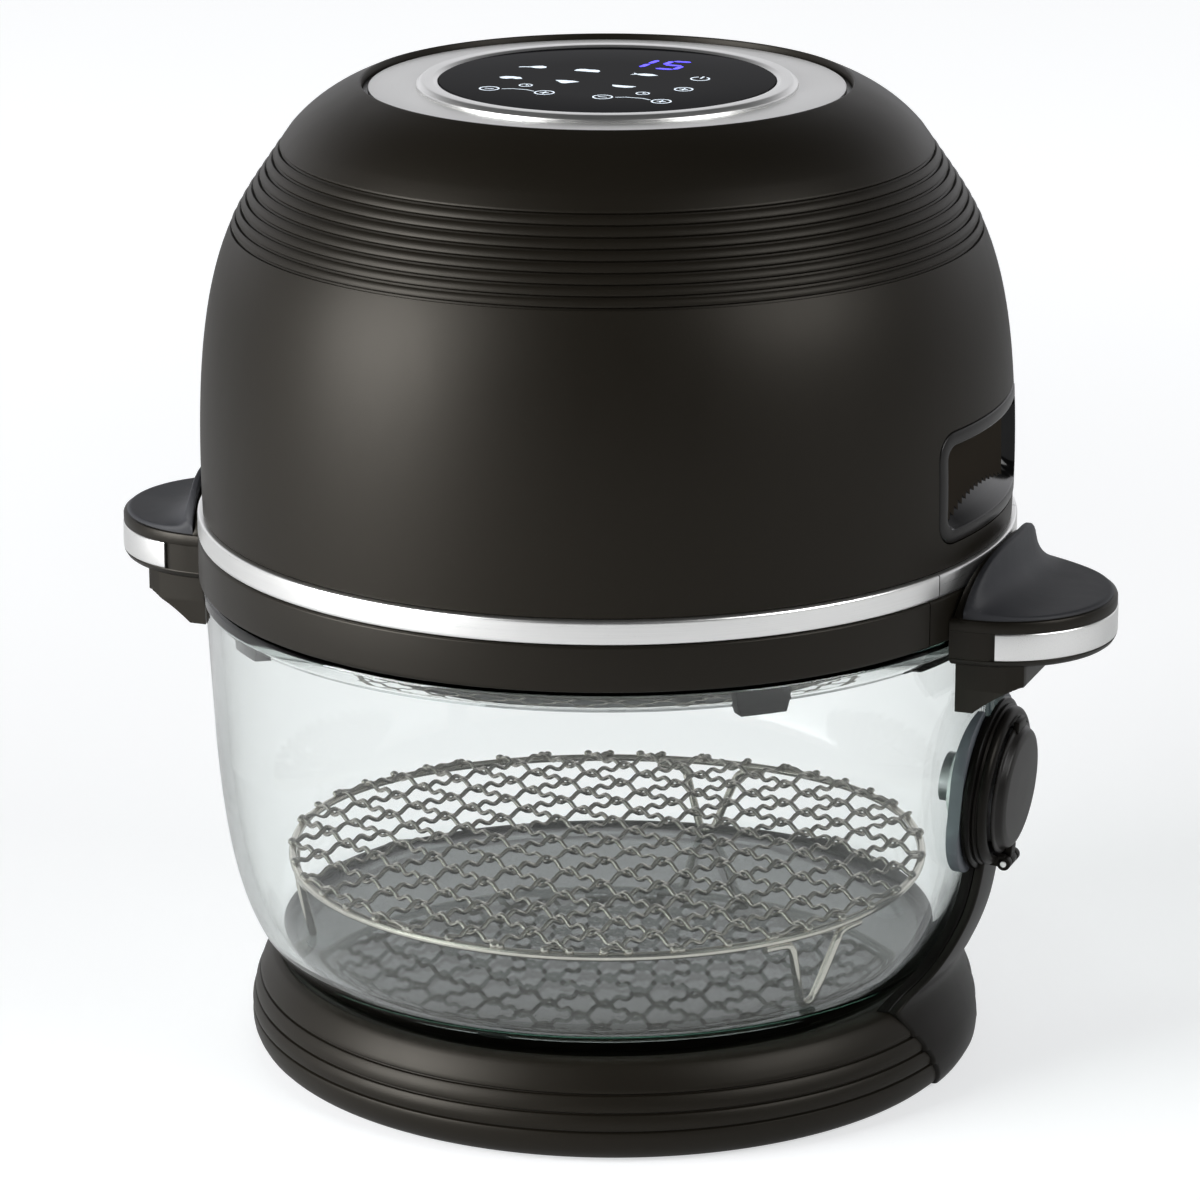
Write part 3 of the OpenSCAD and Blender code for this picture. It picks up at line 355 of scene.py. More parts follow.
def tube(bm, points, radius, sides=12, closed=False):
    """A round wire along points."""
    points = [Vector(p) for p in points]
    count = len(points)
    up = Vector((0, 0, 1))
    rings = []
    for i, point in enumerate(points):
        if closed:
            along = points[(i + 1) % count] - points[i - 1]
        else:
            along = points[min(i + 1, count - 1)] - points[max(i - 1, 0)]
        along.normalize()
        across = along.cross(up)
        if across.length < 0.2:
            across = along.cross(Vector((0, 1, 0)))
        across.normalize()
        up = across.cross(along).normalized()
        rings.append([bm.verts.new((point + radius * (math.cos(a) * across + math.sin(a) * up)) * MM)
                      for a in (2 * math.pi * k / sides for k in range(sides))])
    pairs = list(zip(rings, rings[1:] + rings[:1])) if closed else list(zip(rings, rings[1:]))
    for a, b in pairs:
        for k in range(sides):
            bm.faces.new((a[k], a[(k + 1) % sides], b[(k + 1) % sides], b[k]))
    if not closed:
        bm.faces.new(rings[0][::-1])
        bm.faces.new(rings[-1])


def block(bm, size, centre, place=None):
    """A box of the given size at the given centre, turned by place if given; pieces built with round_edges round its
    edges later.
    """
    matrix = Matrix.Translation(Vector(centre) * MM) @ Matrix.Diagonal((*(Vector(size) * MM), 1))
    made = bmesh.ops.create_cube(bm, size=1, matrix=matrix)
    if place is not None:
        bmesh.ops.transform(bm, matrix=place, verts=made["verts"])


def applied(obj):
    """Turns an object's modifiers into its plain mesh."""
    bpy.context.view_layer.update()
    graph = bpy.context.evaluated_depsgraph_get()
    mesh = bpy.data.meshes.new_from_object(obj.evaluated_get(graph))
    obj.modifiers.clear()
    obj.data = mesh
    mesh.name = obj.name
    return obj


def smooth(obj, angle=38):
    """Smooth shading, with a crease where faces meet at more than the angle."""
    obj.data.shade_smooth()
    obj.data.set_sharp_from_angle(angle=math.radians(angle))


def mesh_object(name, bm, finishes):
    """An object from a bmesh, with its doubles merged and its faces pointing outwards."""
    bmesh.ops.remove_doubles(bm, verts=bm.verts, dist=1e-7)
    bmesh.ops.recalc_face_normals(bm, faces=bm.faces)
    mesh = bpy.data.meshes.new(name)
    bm.to_mesh(mesh)
    bm.free()
    for finish in finishes:
        mesh.materials.append(finish)
    obj = bpy.data.objects.new(name, mesh)
    bpy.context.scene.collection.objects.link(obj)
    return obj


def settle(obj, nodes=(), body=None):
    """Puts a finished piece on its body, in place of the CAD nodes it stands for."""
    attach(obj, body or frame["nodes"][nodes[0]]["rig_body"])
    if nodes:
        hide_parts(*nodes)
    return obj


def piece(name, bm, finish, nodes=(), body=None, angle=38, round_edges=0.0):
    """A finished piece: mesh, finish, shading with optionally rounded edges, body and the CAD nodes it stands for."""
    obj = mesh_object(name, bm, [finish])
    if round_edges:
        bevel = obj.modifiers.new("Round Edges", "BEVEL")
        bevel.width = round_edges * MM
        bevel.segments = 3
        bevel.limit_method = "ANGLE"
        bevel.angle_limit = math.radians(angle)
        applied(obj)
    smooth(obj, angle)
    return settle(obj, nodes, body)


def softened(node, finish, width=0.4, angle=35):
    """A copy of a CAD node with its sharp edges rounded, which stands for that node."""
    bm = bmesh.new()
    bm.from_mesh(frame["nodes"][node].data)
    bmesh.ops.remove_doubles(bm, verts=bm.verts, dist=2e-6)
    bmesh.ops.dissolve_limit(bm, angle_limit=math.radians(0.5), verts=bm.verts, edges=bm.edges)
    return piece(node + "_soft", bm, finish, [node], angle=angle, round_edges=width)


def cut(obj, cutter):
    """Cuts a closed mesh out of an object."""
    tool = mesh_object("cutter", cutter, [])
    boolean = obj.modifiers.new("Cut", "BOOLEAN")
    boolean.operation = "DIFFERENCE"
    boolean.solver = "EXACT"
    boolean.object = tool
    applied(obj)
    bpy.data.objects.remove(tool)


# Node trees


def add(tree, kind, inputs=None, **settings):
    """Adds a node, sets it up and links or sets its inputs."""
    node = tree.nodes.new(kind)
    for name, value in settings.items():
        setattr(node, name, value)
    for name, value in (inputs or {}).items():
        if isinstance(value, bpy.types.NodeSocket):
            tree.links.new(value, node.inputs[name])
        else:
            node.inputs[name].default_value = value
    return node


def math_node(tree, operation, a, b=0.0, c=0.0):
    """A Math node's value."""
    return add(tree, "ShaderNodeMath", {0: a, 1: b, 2: c}, operation=operation).outputs[0]


def grain_group():
    """Fine moulded grain: a height for a Bump node, and a slow change in shade."""
    tree = bpy.data.node_groups.new("Moulded Grain", "ShaderNodeTree")
    scale = tree.interface.new_socket("Scale", in_out="INPUT", socket_type="NodeSocketFloat")
    scale.default_value = 2200
    tree.interface.new_socket("Height", in_out="OUTPUT", socket_type="NodeSocketFloat")
    tree.interface.new_socket("Shade", in_out="OUTPUT", socket_type="NodeSocketFloat")
    inputs = add(tree, "NodeGroupInput")
    place = add(tree, "ShaderNodeTexCoord").outputs["Object"]
    fine = add(tree, "ShaderNodeTexNoise", {"Vector": place, "Scale": inputs.outputs["Scale"], "Detail": 2.0,
                                            "Roughness": 0.6})
    cells = add(tree, "ShaderNodeTexVoronoi", {"Vector": place, "Scale": inputs.outputs["Scale"]},
                feature="SMOOTH_F1")
    slow = add(tree, "ShaderNodeTexNoise", {"Vector": place, "Scale": 9.0, "Detail": 3.0})
    height = math_node(tree, "MULTIPLY_ADD", cells.outputs["Distance"], 0.5, fine.outputs["Fac"])
    outputs = add(tree, "NodeGroupOutput")
    tree.links.new(height, outputs.inputs["Height"])
    tree.links.new(slow.outputs["Fac"], outputs.inputs["Shade"])
    return tree


def marks_group():
    """Faint wipe marks and specks of dust: masks from 0 to 1."""
    tree = bpy.data.node_groups.new("Handling Marks", "ShaderNodeTree")
    amount = tree.interface.new_socket("Amount", in_out="INPUT", socket_type="NodeSocketFloat")
    amount.default_value = 0.5
    tree.interface.new_socket("Smudges", in_out="OUTPUT", socket_type="NodeSocketFloat")
    tree.interface.new_socket("Dust", in_out="OUTPUT", socket_type="NodeSocketFloat")
    inputs = add(tree, "NodeGroupInput")
    place = add(tree, "ShaderNodeTexCoord").outputs["Object"]
    stretched = add(tree, "ShaderNodeMapping", {"Vector": place, "Scale": (30, 30, 11),
                                                "Rotation": (0.3, 0.5, 0.2)}).outputs[0]
    wipe = add(tree, "ShaderNodeTexNoise", {"Vector": stretched, "Scale": 1.0, "Detail": 6.0,
                                            "Roughness": 0.62, "Distortion": 0.7}).outputs["Fac"]
    smudges = add(tree, "ShaderNodeMapRange", {"Value": wipe, "From Min": 0.45, "From Max": 0.75}).outputs[0]
    specks = add(tree, "ShaderNodeTexVoronoi", {"Vector": place, "Scale": 420.0}).outputs["Distance"]
    dust = add(tree, "ShaderNodeMapRange", {"Value": specks, "From Min": 0.07, "From Max": 0.03}).outputs[0]
    outputs = add(tree, "NodeGroupOutput")
    tree.links.new(math_node(tree, "MULTIPLY", smudges, inputs.outputs["Amount"]), outputs.inputs["Smudges"])
    tree.links.new(math_node(tree, "MULTIPLY", dust, inputs.outputs["Amount"]), outputs.inputs["Dust"])
    return tree


def brushed_group():
    """Fine brushed lines that run in circles about Z: a height and a mask."""
    tree = bpy.data.node_groups.new("Brushed Rings", "ShaderNodeTree")
    scale = tree.interface.new_socket("Lines", in_out="INPUT", socket_type="NodeSocketFloat")
    scale.default_value = 5000
    tree.interface.new_socket("Height", in_out="OUTPUT", socket_type="NodeSocketFloat")
    tree.interface.new_socket("Mask", in_out="OUTPUT", socket_type="NodeSocketFloat")
    inputs = add(tree, "NodeGroupInput")
    place = add(tree, "ShaderNodeTexCoord").outputs["Object"]
    parts = add(tree, "ShaderNodeSeparateXYZ", {0: place})
    flat = add(tree, "ShaderNodeCombineXYZ", {"X": parts.outputs["X"], "Y": parts.outputs["Y"]}).outputs[0]
    reach = add(tree, "ShaderNodeVectorMath", {0: flat}, operation="LENGTH").outputs["Value"]
    angle = math_node(tree, "ARCTAN2", parts.outputs["Y"], parts.outputs["X"])
    lines = add(tree, "ShaderNodeCombineXYZ", {
        "X": math_node(tree, "MULTIPLY", reach, inputs.outputs["Lines"]),
        "Y": math_node(tree, "MULTIPLY", angle, 3.0),
        "Z": math_node(tree, "MULTIPLY", parts.outputs["Z"], inputs.outputs["Lines"])}).outputs[0]
    noise = add(tree, "ShaderNodeTexNoise", {"Vector": lines, "Scale": 1.0, "Detail": 3.0}).outputs["Fac"]
    outputs = add(tree, "NodeGroupOutput")
    tree.links.new(noise, outputs.inputs["Height"])
    tree.links.new(noise, outputs.inputs["Mask"])
    return tree


def new_material(name):
    """A material with an empty node tree, its Principled shader and its output."""
    material = bpy.data.materials.new(name)
    material.use_nodes = True
    tree = material.node_tree
    tree.nodes.clear()
    shader = add(tree, "ShaderNodeBsdfPrincipled")
    output = add(tree, "ShaderNodeOutputMaterial", {"Surface": shader.outputs[0]})
    return material, tree, shader, output


def plastic(name, colour, rough, grain=2200, depth=0.05, marks=0.4, lift=0.25, dust=0.12, coat=0.0,
            shine=0.5, tint=(1, 1, 1)):
    """Moulded plastic or rubber with grain, slow changes of shade, wipe marks and specks of dust."""
    material, tree, shader, _ = new_material(name)
    texture = add(tree, "ShaderNodeGroup", node_tree=bpy.data.node_groups["Moulded Grain"])
    texture.inputs["Scale"].default_value = grain
    worn = add(tree, "ShaderNodeGroup", node_tree=bpy.data.node_groups["Handling Marks"])
    worn.inputs["Amount"].default_value = marks
    lighter = [min(1, c * (1 + lift)) for c in colour]
    darker = [c * (1 - lift) for c in colour]
    shade = add(tree, "ShaderNodeMix", {"Factor": texture.outputs["Shade"], "A": (*darker, 1),
                                        "B": (*lighter, 1)}, data_type="RGBA")
    speck = math_node(tree, "MULTIPLY", worn.outputs["Dust"], dust)
    dusty = add(tree, "ShaderNodeMix", {"Factor": speck, "A": shade.outputs["Result"],
                                        "B": (0.30, 0.29, 0.27, 1)}, data_type="RGBA")
    tree.links.new(dusty.outputs["Result"], shader.inputs["Base Color"])
    roughness = math_node(tree, "MULTIPLY_ADD", worn.outputs["Smudges"], -0.07, rough)
    roughness = math_node(tree, "MULTIPLY_ADD", texture.outputs["Shade"], 0.05, roughness)
    tree.links.new(roughness, shader.inputs["Roughness"])
    bump = add(tree, "ShaderNodeBump", {"Height": texture.outputs["Height"], "Strength": 0.35,
                                        "Distance": depth * MM})
    tree.links.new(bump.outputs[0], shader.inputs["Normal"])
    shader.inputs["Specular IOR Level"].default_value = shine
    shader.inputs["Specular Tint"].default_value = (*tint, 1)
    shader.inputs["Coat Weight"].default_value = coat
    shader.inputs["Coat Roughness"].default_value = 0.05
    return material


def metal(name, colour, rough, lines=5000, depth=0.01, anisotropy=0.0, brushed=0.1):
    """Bare, plated or satin metal with fine brushed lines and a few wipe marks."""
    material, tree, shader, _ = new_material(name)
    shader.inputs["Metallic"].default_value = 1.0
    shader.inputs["Anisotropic"].default_value = anisotropy
    rings = add(tree, "ShaderNodeGroup", node_tree=bpy.data.node_groups["Brushed Rings"])
    rings.inputs["Lines"].default_value = lines
    worn = add(tree, "ShaderNodeGroup", node_tree=bpy.data.node_groups["Handling Marks"])
    worn.inputs["Amount"].default_value = 0.5
    darker = [c * 0.86 for c in colour]
    shade = add(tree, "ShaderNodeMix", {"Factor": rings.outputs["Mask"], "A": (*darker, 1),
                                        "B": (*colour, 1)}, data_type="RGBA")
    tree.links.new(shade.outputs["Result"], shader.inputs["Base Color"])
    roughness = math_node(tree, "MULTIPLY_ADD", rings.outputs["Mask"], brushed, rough)
    roughness = math_node(tree, "MULTIPLY_ADD", worn.outputs["Smudges"], 0.06, roughness)
    tree.links.new(roughness, shader.inputs["Roughness"])
    bump = add(tree, "ShaderNodeBump", {"Height": rings.outputs["Height"], "Strength": 0.3,
                                        "Distance": depth * MM})
    tree.links.new(bump.outputs[0], shader.inputs["Normal"])
    return material


def bowl_glass(tint):
    """Clear glass that takes a green tint in its thickness, with a few wipe marks and specks."""
    material, tree, shader, output = new_material("Bowl Glass")
    shader.inputs["Transmission Weight"].default_value = 1.0
    shader.inputs["IOR"].default_value = 1.47
    worn = add(tree, "ShaderNodeGroup", node_tree=bpy.data.node_groups["Handling Marks"])
    worn.inputs["Amount"].default_value = 1.0
    speck = math_node(tree, "MULTIPLY", worn.outputs["Dust"], 0.25)
    colour = add(tree, "ShaderNodeMix", {"Factor": speck, "A": (1, 1, 1, 1), "B": (0.8, 0.82, 0.8, 1)},
                 data_type="RGBA")
    tree.links.new(colour.outputs["Result"], shader.inputs["Base Color"])
    rough = math_node(tree, "MULTIPLY", worn.outputs["Smudges"], 0.02)
    tree.links.new(rough, shader.inputs["Roughness"])
    volume = add(tree, "ShaderNodeVolumeAbsorption", {"Color": (*tint, 1), "Density": 11.0})
    tree.links.new(volume.outputs[0], output.inputs["Volume"])
    clear = add(tree, "ShaderNodeBsdfTransparent", {"Color": (0.86, 0.90, 0.88, 1)})
    shadow = add(tree, "ShaderNodeLightPath").outputs["Is Shadow Ray"]
    surface = add(tree, "ShaderNodeMixShader", {0: shadow, 1: shader.outputs[0], 2: clear.outputs[0]})
    tree.links.new(surface.outputs[0], output.inputs["Surface"])
    return material


def quartz():
    """The frosted quartz of the heating ring."""
    material, tree, shader, _ = new_material("Quartz")
    texture = add(tree, "ShaderNodeGroup", node_tree=bpy.data.node_groups["Moulded Grain"])
    texture.inputs["Scale"].default_value = 900
    shade = add(tree, "ShaderNodeMix", {"Factor": texture.outputs["Shade"], "A": (0.78, 0.74, 0.66, 1),
                                        "B": (0.92, 0.90, 0.86, 1)}, data_type="RGBA")
    tree.links.new(shade.outputs["Result"], shader.inputs["Base Color"])
    tree.links.new(math_node(tree, "MULTIPLY_ADD", texture.outputs["Shade"], 0.2, 0.12),
                   shader.inputs["Roughness"])
    shader.inputs["Transmission Weight"].default_value = 0.35
    shader.inputs["IOR"].default_value = 1.46
    return material


def glow(name, colour, strength):
    """A lit mark behind the touch panel, a little uneven as printed marks are."""
    material, tree, shader, _ = new_material(name)
    texture = add(tree, "ShaderNodeGroup", node_tree=bpy.data.node_groups["Moulded Grain"])
    texture.inputs["Scale"].default_value = 700
    shade = add(tree, "ShaderNodeMix", {"Factor": texture.outputs["Shade"],
                                        "A": (*[c * 0.8 for c in colour], 1), "B": (*colour, 1)},
                data_type="RGBA")
    tree.links.new(shade.outputs["Result"], shader.inputs["Base Color"])
    tree.links.new(shade.outputs["Result"], shader.inputs["Emission Color"])
    shader.inputs["Emission Strength"].default_value = strength
    shader.inputs["Roughness"].default_value = 0.35
    return material


FINISH = {}


class OVEN_OT_finishes(Operator):
    """Makes the shader groups and the finish of every surface."""

    bl_idname = "oven.finishes"
    bl_label = "Finishes"

    def execute(self, context):
        colours = context.scene.oven_finishes
        grain_group()
        marks_group()
        brushed_group()
        shell, arm, pad = colours.shell, colours.arm, colours.pad
        warm = (1, 0.94, 0.84)
        FINISH.update({
            "shell": plastic("Warm Black Dome", shell, colours.shell_rough, 1900, 0.05, shine=0.23, tint=warm),
            "skirt": plastic("Skirt Black", [c * 0.8 for c in shell], 0.38, 2100, 0.05, shine=0.28, tint=warm),
            "arm": plastic("Arm Black", arm, 0.22, 2600, 0.03, lift=0.1, shine=0.07),
            "pod": plastic("Pod Brown Black", [c * 1.2 for c in arm], 0.33, 2300, 0.04, shine=0.12, tint=warm),
            "cap": plastic("Cap Face", [c * 2.6 for c in arm], 0.36, 2300, 0.05, shine=0.25),
            "vent": plastic("Vent Border", (0.006, 0.0055, 0.005), 0.30, 2100, 0.04, shine=0.3),
            "gloss": plastic("Gloss Black", (0.003, 0.003, 0.003), 0.13, 2600, 0.01, dust=0.0, shine=0.25),
            "fins": plastic("Vent Fins", (0.026, 0.020, 0.013), 0.35, 2100, 0.05),
            "pad": plastic("Soft Pad", pad, 0.56, 1500, 0.09, marks=1.0, dust=0.3, shine=0.28),
            "saddle": plastic("Saddle Pad", colours.saddle, 0.45, 1500, 0.08, marks=0.8),
            "rubber": plastic("Dark Rubber", (0.02, 0.02, 0.021), 0.7, 1300, 0.1),
            "seal": plastic("Grey Seal", (0.05, 0.055, 0.055), 0.6, 1300, 0.1),
            "board": plastic("Board Green", (0.02, 0.12, 0.05), 0.4, 3000, 0.02),
            "cell": plastic("Cell Wrap", (0.20, 0.22, 0.24), 0.3, 2600, 0.02),
            "bush": plastic("Bush Resin", (0.62, 0.64, 0.64), 0.3, 2300, 0.03),
            "panel": plastic("Panel Glass", (0.0016, 0.0016, 0.002), 0.06, 2600, 0.004, marks=0.3,
                             dust=0.0, shine=0.0, coat=0.1),
            "silver": metal("Satin Silver", colours.silver, 0.24, 5200, 0.008),
            "disc": metal("Spun Silver", [c * 0.94 for c in colours.silver], 0.30, 4200, 0.02, brushed=0.16),
            "bright": metal("Bright Edge", [c * 0.92 for c in colours.silver], 0.28, 5200, 0.005),
            "wire": metal("Plated Wire", colours.wire, 0.13, 2600, 0.01, brushed=0.12),
            # painted shade: the mesh wire is the rack's plated wire made 0.74 times darker, standing in for the dark
            # lid it reflects
            "mesh": metal("Mesh Wire Painted Shade", [c * 0.74 for c in colours.wire], 0.15, 2600, 0.01, brushed=0.12),
            "steel": metal("Steel", (0.56, 0.57, 0.58), 0.3, 4200, 0.02),
            "alu": metal("Pan Aluminium", (0.66, 0.67, 0.67), 0.34, 3600, 0.03),
            "brass": metal("Bearing Brass", (0.62, 0.45, 0.20), 0.28, 4200, 0.01),
            "glass": bowl_glass(colours.glass),
            "quartz": quartz(),
            "mark": glow("Panel Marks", (0.62, 0.70, 0.78), 1.0),
            "digit": glow("Lit Digits", colours.display, 1.5),
        })
        return {"FINISHED"}


# The base


class OVEN_OT_base(Operator):
    """Builds the base ring with its step lines and its closed deck."""

    bl_idname = "oven.base"
    bl_label = "Base Ring"

    def execute(self, context):
        rows = []
        z = RING_Z
        for groove in BASE_GROOVES + [BASE_Z]:
            top = groove - 0.75 if groove < BASE_Z else BASE_Z - 1.2
            bottom = z
            for k in range(7):
                share = k / 6
                rows.append(at_depth(BASE, bottom + (top - bottom) * share,
                                     -0.28 * math.sin(math.pi * share) * (groove < BASE_Z)))
            if groove < BASE_Z:
                for up, depth in ((-0.5, 0.12), (-0.3, 0.55), (-0.05, 0.95), (0.2, 0.95), (0.4, 0.5),
                                  (0.55, 0.1)):
                    rows.append(at_depth(BASE, groove + up, depth))
            z = groove + 0.75
        rows.append(at_depth(BASE, BASE_Z - 0.5, 0.3))
        ring = [(p.x, p.y, BASE_SHIFT) for p in rows]
        first = ring[0]
        ring[0] = (first[0], first[1] + 0.6, BASE_SHIFT)
        outline = [(0, BASE_Z - 4), (118, BASE_Z - 4), (121.6, BASE_Z - 4), (122.3, BASE_Z - 3.3),
                   (122.3, BASE_Z - 1.1), (122.8, BASE_Z - 0.4), (123.6, BASE_Z),
                   (126.2, BASE_Z, BASE_SHIFT)]
        outline += ring[::-1]
        outline += [(first[0] - 0.7, RING_Z, BASE_SHIFT), (first[0] - 2.6, RING_Z, BASE_SHIFT),
                    (first[0] - 2.6, 10, BASE_SHIFT), (first[0] - 4.5, 24, BASE_SHIFT),
                    (first[0] - 8, BASE_Z - 7, BASE_SHIFT), (0, BASE_Z - 7)]
        piece("base_ring_form", lathe(outline, 224), FINISH["shell"], ["base_ring"])
        return {"FINISHED"}


# The drive arm


def arm_radius(z):
    """How far the smooth outside of the arm and its foot lies from the bowl axis, at height z."""
    return radius_at(ARM_SIDE, z)


ARM_SIDE = smooth_through([(137.2, 1.6), (139.4, 5.5), (140.2, 11.5), (139.7, 17), (138.2, 22), (136.2, 27.2),
                           (134.5, 32), (133.8, 36), (134.6, 40), (138.2, 46), (143.0, 57), (146.8, 68.2),
                           (149.4, 81), (150.6, 90)], 6)
ARM_EDGE = cubic((41, 36.2), (23, 46.2), (11, 56.2), (11, 82), 24)


def arm_half_width(z):
    """Half the width of the arm at height z, with the steps at the base ring's lines."""
    if z > 36.2:
        return radius_at(ARM_EDGE, min(z, 82)) - 0.3
    width = 19 + 22 * (z - RING_Z) / (BASE_Z - RING_Z)
    for groove in BASE_GROOVES:
        if groove < z < groove + 2.2:
            width += 1.5 * (1 - (z - groove) / 2.2)
    return width * 0.985


def arm_rows(inner, outer, heights, width_more=0.0, soft=1.2):
    """Two grids of points, the outside and the inside of a strip that runs up the bowl."""
    top, bottom = [], []
    for z in heights:
        half = arm_half_width(z) + width_more
        centre = BASE_SHIFT * max(0, min(1, (44 - z) / 12))
        reach = arm_radius(z) - centre
        front, back = [], []
        for k in range(37):
            s = math.sin(math.pi / 2 * max(-1, min(1, (k - 18) / 18)))
            y = s * half
            from_edge = half - abs(y)
            drop = soft - math.sqrt(max(soft ** 2 - max(0, soft - from_edge) ** 2, 0))
            front.append((centre + math.sqrt((reach + outer - drop) ** 2 - y * y), y, z))
            back.append((centre + math.sqrt((reach + inner) ** 2 - y * y), y, z))
        top.append(front)
        bottom.append(back)
    return top, bottom


def pod_piece(name, corners, finish, nodes, steps=96, angle=32):
    """A turned piece on the pod's axis, from corners (radius, distance along the axis, rounding)."""
    outline = [tuple(p) for p in soft_corners(corners)]
    return piece(name, lathe(outline, steps, POD_LATHE), finish, nodes, angle=angle)


class OVEN_OT_drive(Operator):
    """Builds the arm that runs from the base up the bowl, its pod, its cap and the soft saddle pad."""

    bl_idname = "oven.drive"
    bl_label = "Drive Arm and Pod"

    def arm(self):
        heights = [RING_Z + 0.3, 3, 5, 7, 9, 11, 12.45]
        for groove in BASE_GROOVES:
            heights += [groove + 0.05, groove + 1.1, groove + 2.2, groove + 3.8, groove + 5.2, groove + 6.4]
        heights = sorted(set(h for h in heights if h < 31)) + [32.5, 34.2, 36, 36.6]
        heights += [38 + 2 * k for k in range(26)]
        bm = bmesh.new()
        slab(bm, *arm_rows(-3.0, 0.0, heights))
        piece("arm_cover_form", bm, FINISH["pod"], ["arm_cover", "foot_cover"], angle=40)

    def inner_arm(self):
        bm = bmesh.new()
        heights = [36.25, 36.8, 38] + [40 + 2 * k for k in range(25)]
        slab(bm, *arm_rows(-7.2, -3.1, heights, width_more=0.7, soft=1.8))
        piece("inner_arm", bm, FINISH["arm"], ["drive_arm"], angle=40)

    def pod(self):
        back = lathe([tuple(p) for p in soft_corners(
            [(8.1, 1.75, 0), (8.1, 3.4, 0), (30.5, 3.4, 0), (31.6, 3.1, 0.5), (32, 1.6, 0.8),
             (31.4, 0.05, 0.6), (13.5, 0.05, 0), (13.5, 1.75, 0)])], 128, POD_LATHE)
        plate = mesh_object("pod_plate", back, [FINISH["arm"]])
        channel = bmesh.new()
        block(channel, (11.8, 23.8, 50), (-4.15, 0, 25), POD)
        cut(plate, channel)
        smooth(plate, 32)
        settle(plate, body="base")
        pod_piece("pod_shell", [(22, 3.45, 0), (29.6, 3.45, 0.3), (29.7, 4.4, 0.4), (28.9, 4.7, 0.3),
                                (28.9, 5.3, 0.3), (29.3, 5.6, 0.4), (28.9, 7.2, 0.9), (27.3, 8.4, 0.9),
                                (25.9, 8.4, 0.4), (25.3, 6.3, 0.4), (22, 6.3, 0)], FINISH["pod"],
                  ["arm_cover"], 128)
        ears = bmesh.new()
        for side in (-1, 1):
            tube(ears, [POD @ Vector((11.1 * MM, side * y * MM, -27.6 * MM)) / MM for y in (3.35, 6.6)], 2.5, 24)
            block(ears, (5.2, 3.2, 4.2), (8.6, side * 5.0, -26.8), POD)
        piece("hinge_ears", ears, FINISH["pod"], body="base", round_edges=0.25)

    def saddle(self):
        loops = []
        for share, size in ((0, 0.955), (0.05, 0.99), (0.12, 1.0), (0.88, 1.0), (0.95, 0.985), (1, 0.955)):
            loop = []
            for k in range(96):
                a = 2 * math.pi * k / 96
                c, s = math.cos(a), math.sin(a)
                reach = 31.3 * size / (abs(c) ** 3 + abs(s) ** 3) ** (1 / 3)
                y, z = min(30.6, max(-30.6, reach * c)), reach * s
                face = POD @ (Vector((-0.02, y, z)) * MM) / MM
                glass = math.sqrt((radius_at(BOWL, face.z) + 0.35) ** 2 - face.y ** 2)
                loop.append((face.x + (glass - face.x) * share, face.y, face.z))
            loops.append(loop)
        bm = bmesh.new()
        bridge(bm, loops, closed=False)
        pad = mesh_object("saddle_form", bm, [FINISH["saddle"]])
        channel = bmesh.new()
        tube(channel, [POD @ Vector((x * MM, 0, 0)) / MM for x in (-14, 4)], 11.7, 48)
        cut(pad, channel)
        channel = bmesh.new()
        block(channel, (24, 23.4, 44), (-5, 0, 22), POD)
        cut(pad, channel)
        smooth(pad, 45)
        settle(pad, ["saddle_pad"])

    def cap(self):
        cap = lathe([tuple(p) for p in soft_corners(
            [(0, 8.9, 0), (24.2, 8.9, 0.3), (24.3, 9.9, 0.5), (22.9, 10.3, 0.3), (22.3, 11.4, 0.8),
             (21.6, 12.7, 0.8), (19.4, 13.4, 0.8), (8, 13.65, 1.0), (0, 13.68, 0)])], 128, POD_LATHE)
        piece("cap_face", cap, FINISH["cap"], ["drive_cap"], angle=30)
        bm = bmesh.new()
        tube(bm, [POD @ Vector((11.1 * MM, y * MM, -27.6 * MM)) / MM for y in (-3, 3)], 2.45, 28)
        block(bm, (3.6, 5.6, 6.2), (10.9, 0, -24.6), POD)
        block(bm, (2.3, 10, 4.2), (10.05, 0, 24.2), POD)
        piece("cap_tab", bm, FINISH["pod"], body="cap", round_edges=0.5)
        pin = bmesh.new()
        tube(pin, [POD @ Vector((11.1 * MM, y * MM, -27.6 * MM)) / MM
                   for y in (-6.9, -6.8, 6.8, 6.9)], 1.15, 24)
        piece("hinge_pin", pin, FINISH["bright"], ["cap_pin"], round_edges=0.2)

    def execute(self, context):
        self.arm()
        self.inner_arm()
        self.pod()
        self.cap()
        self.saddle()
        return {"FINISHED"}


# The bowl


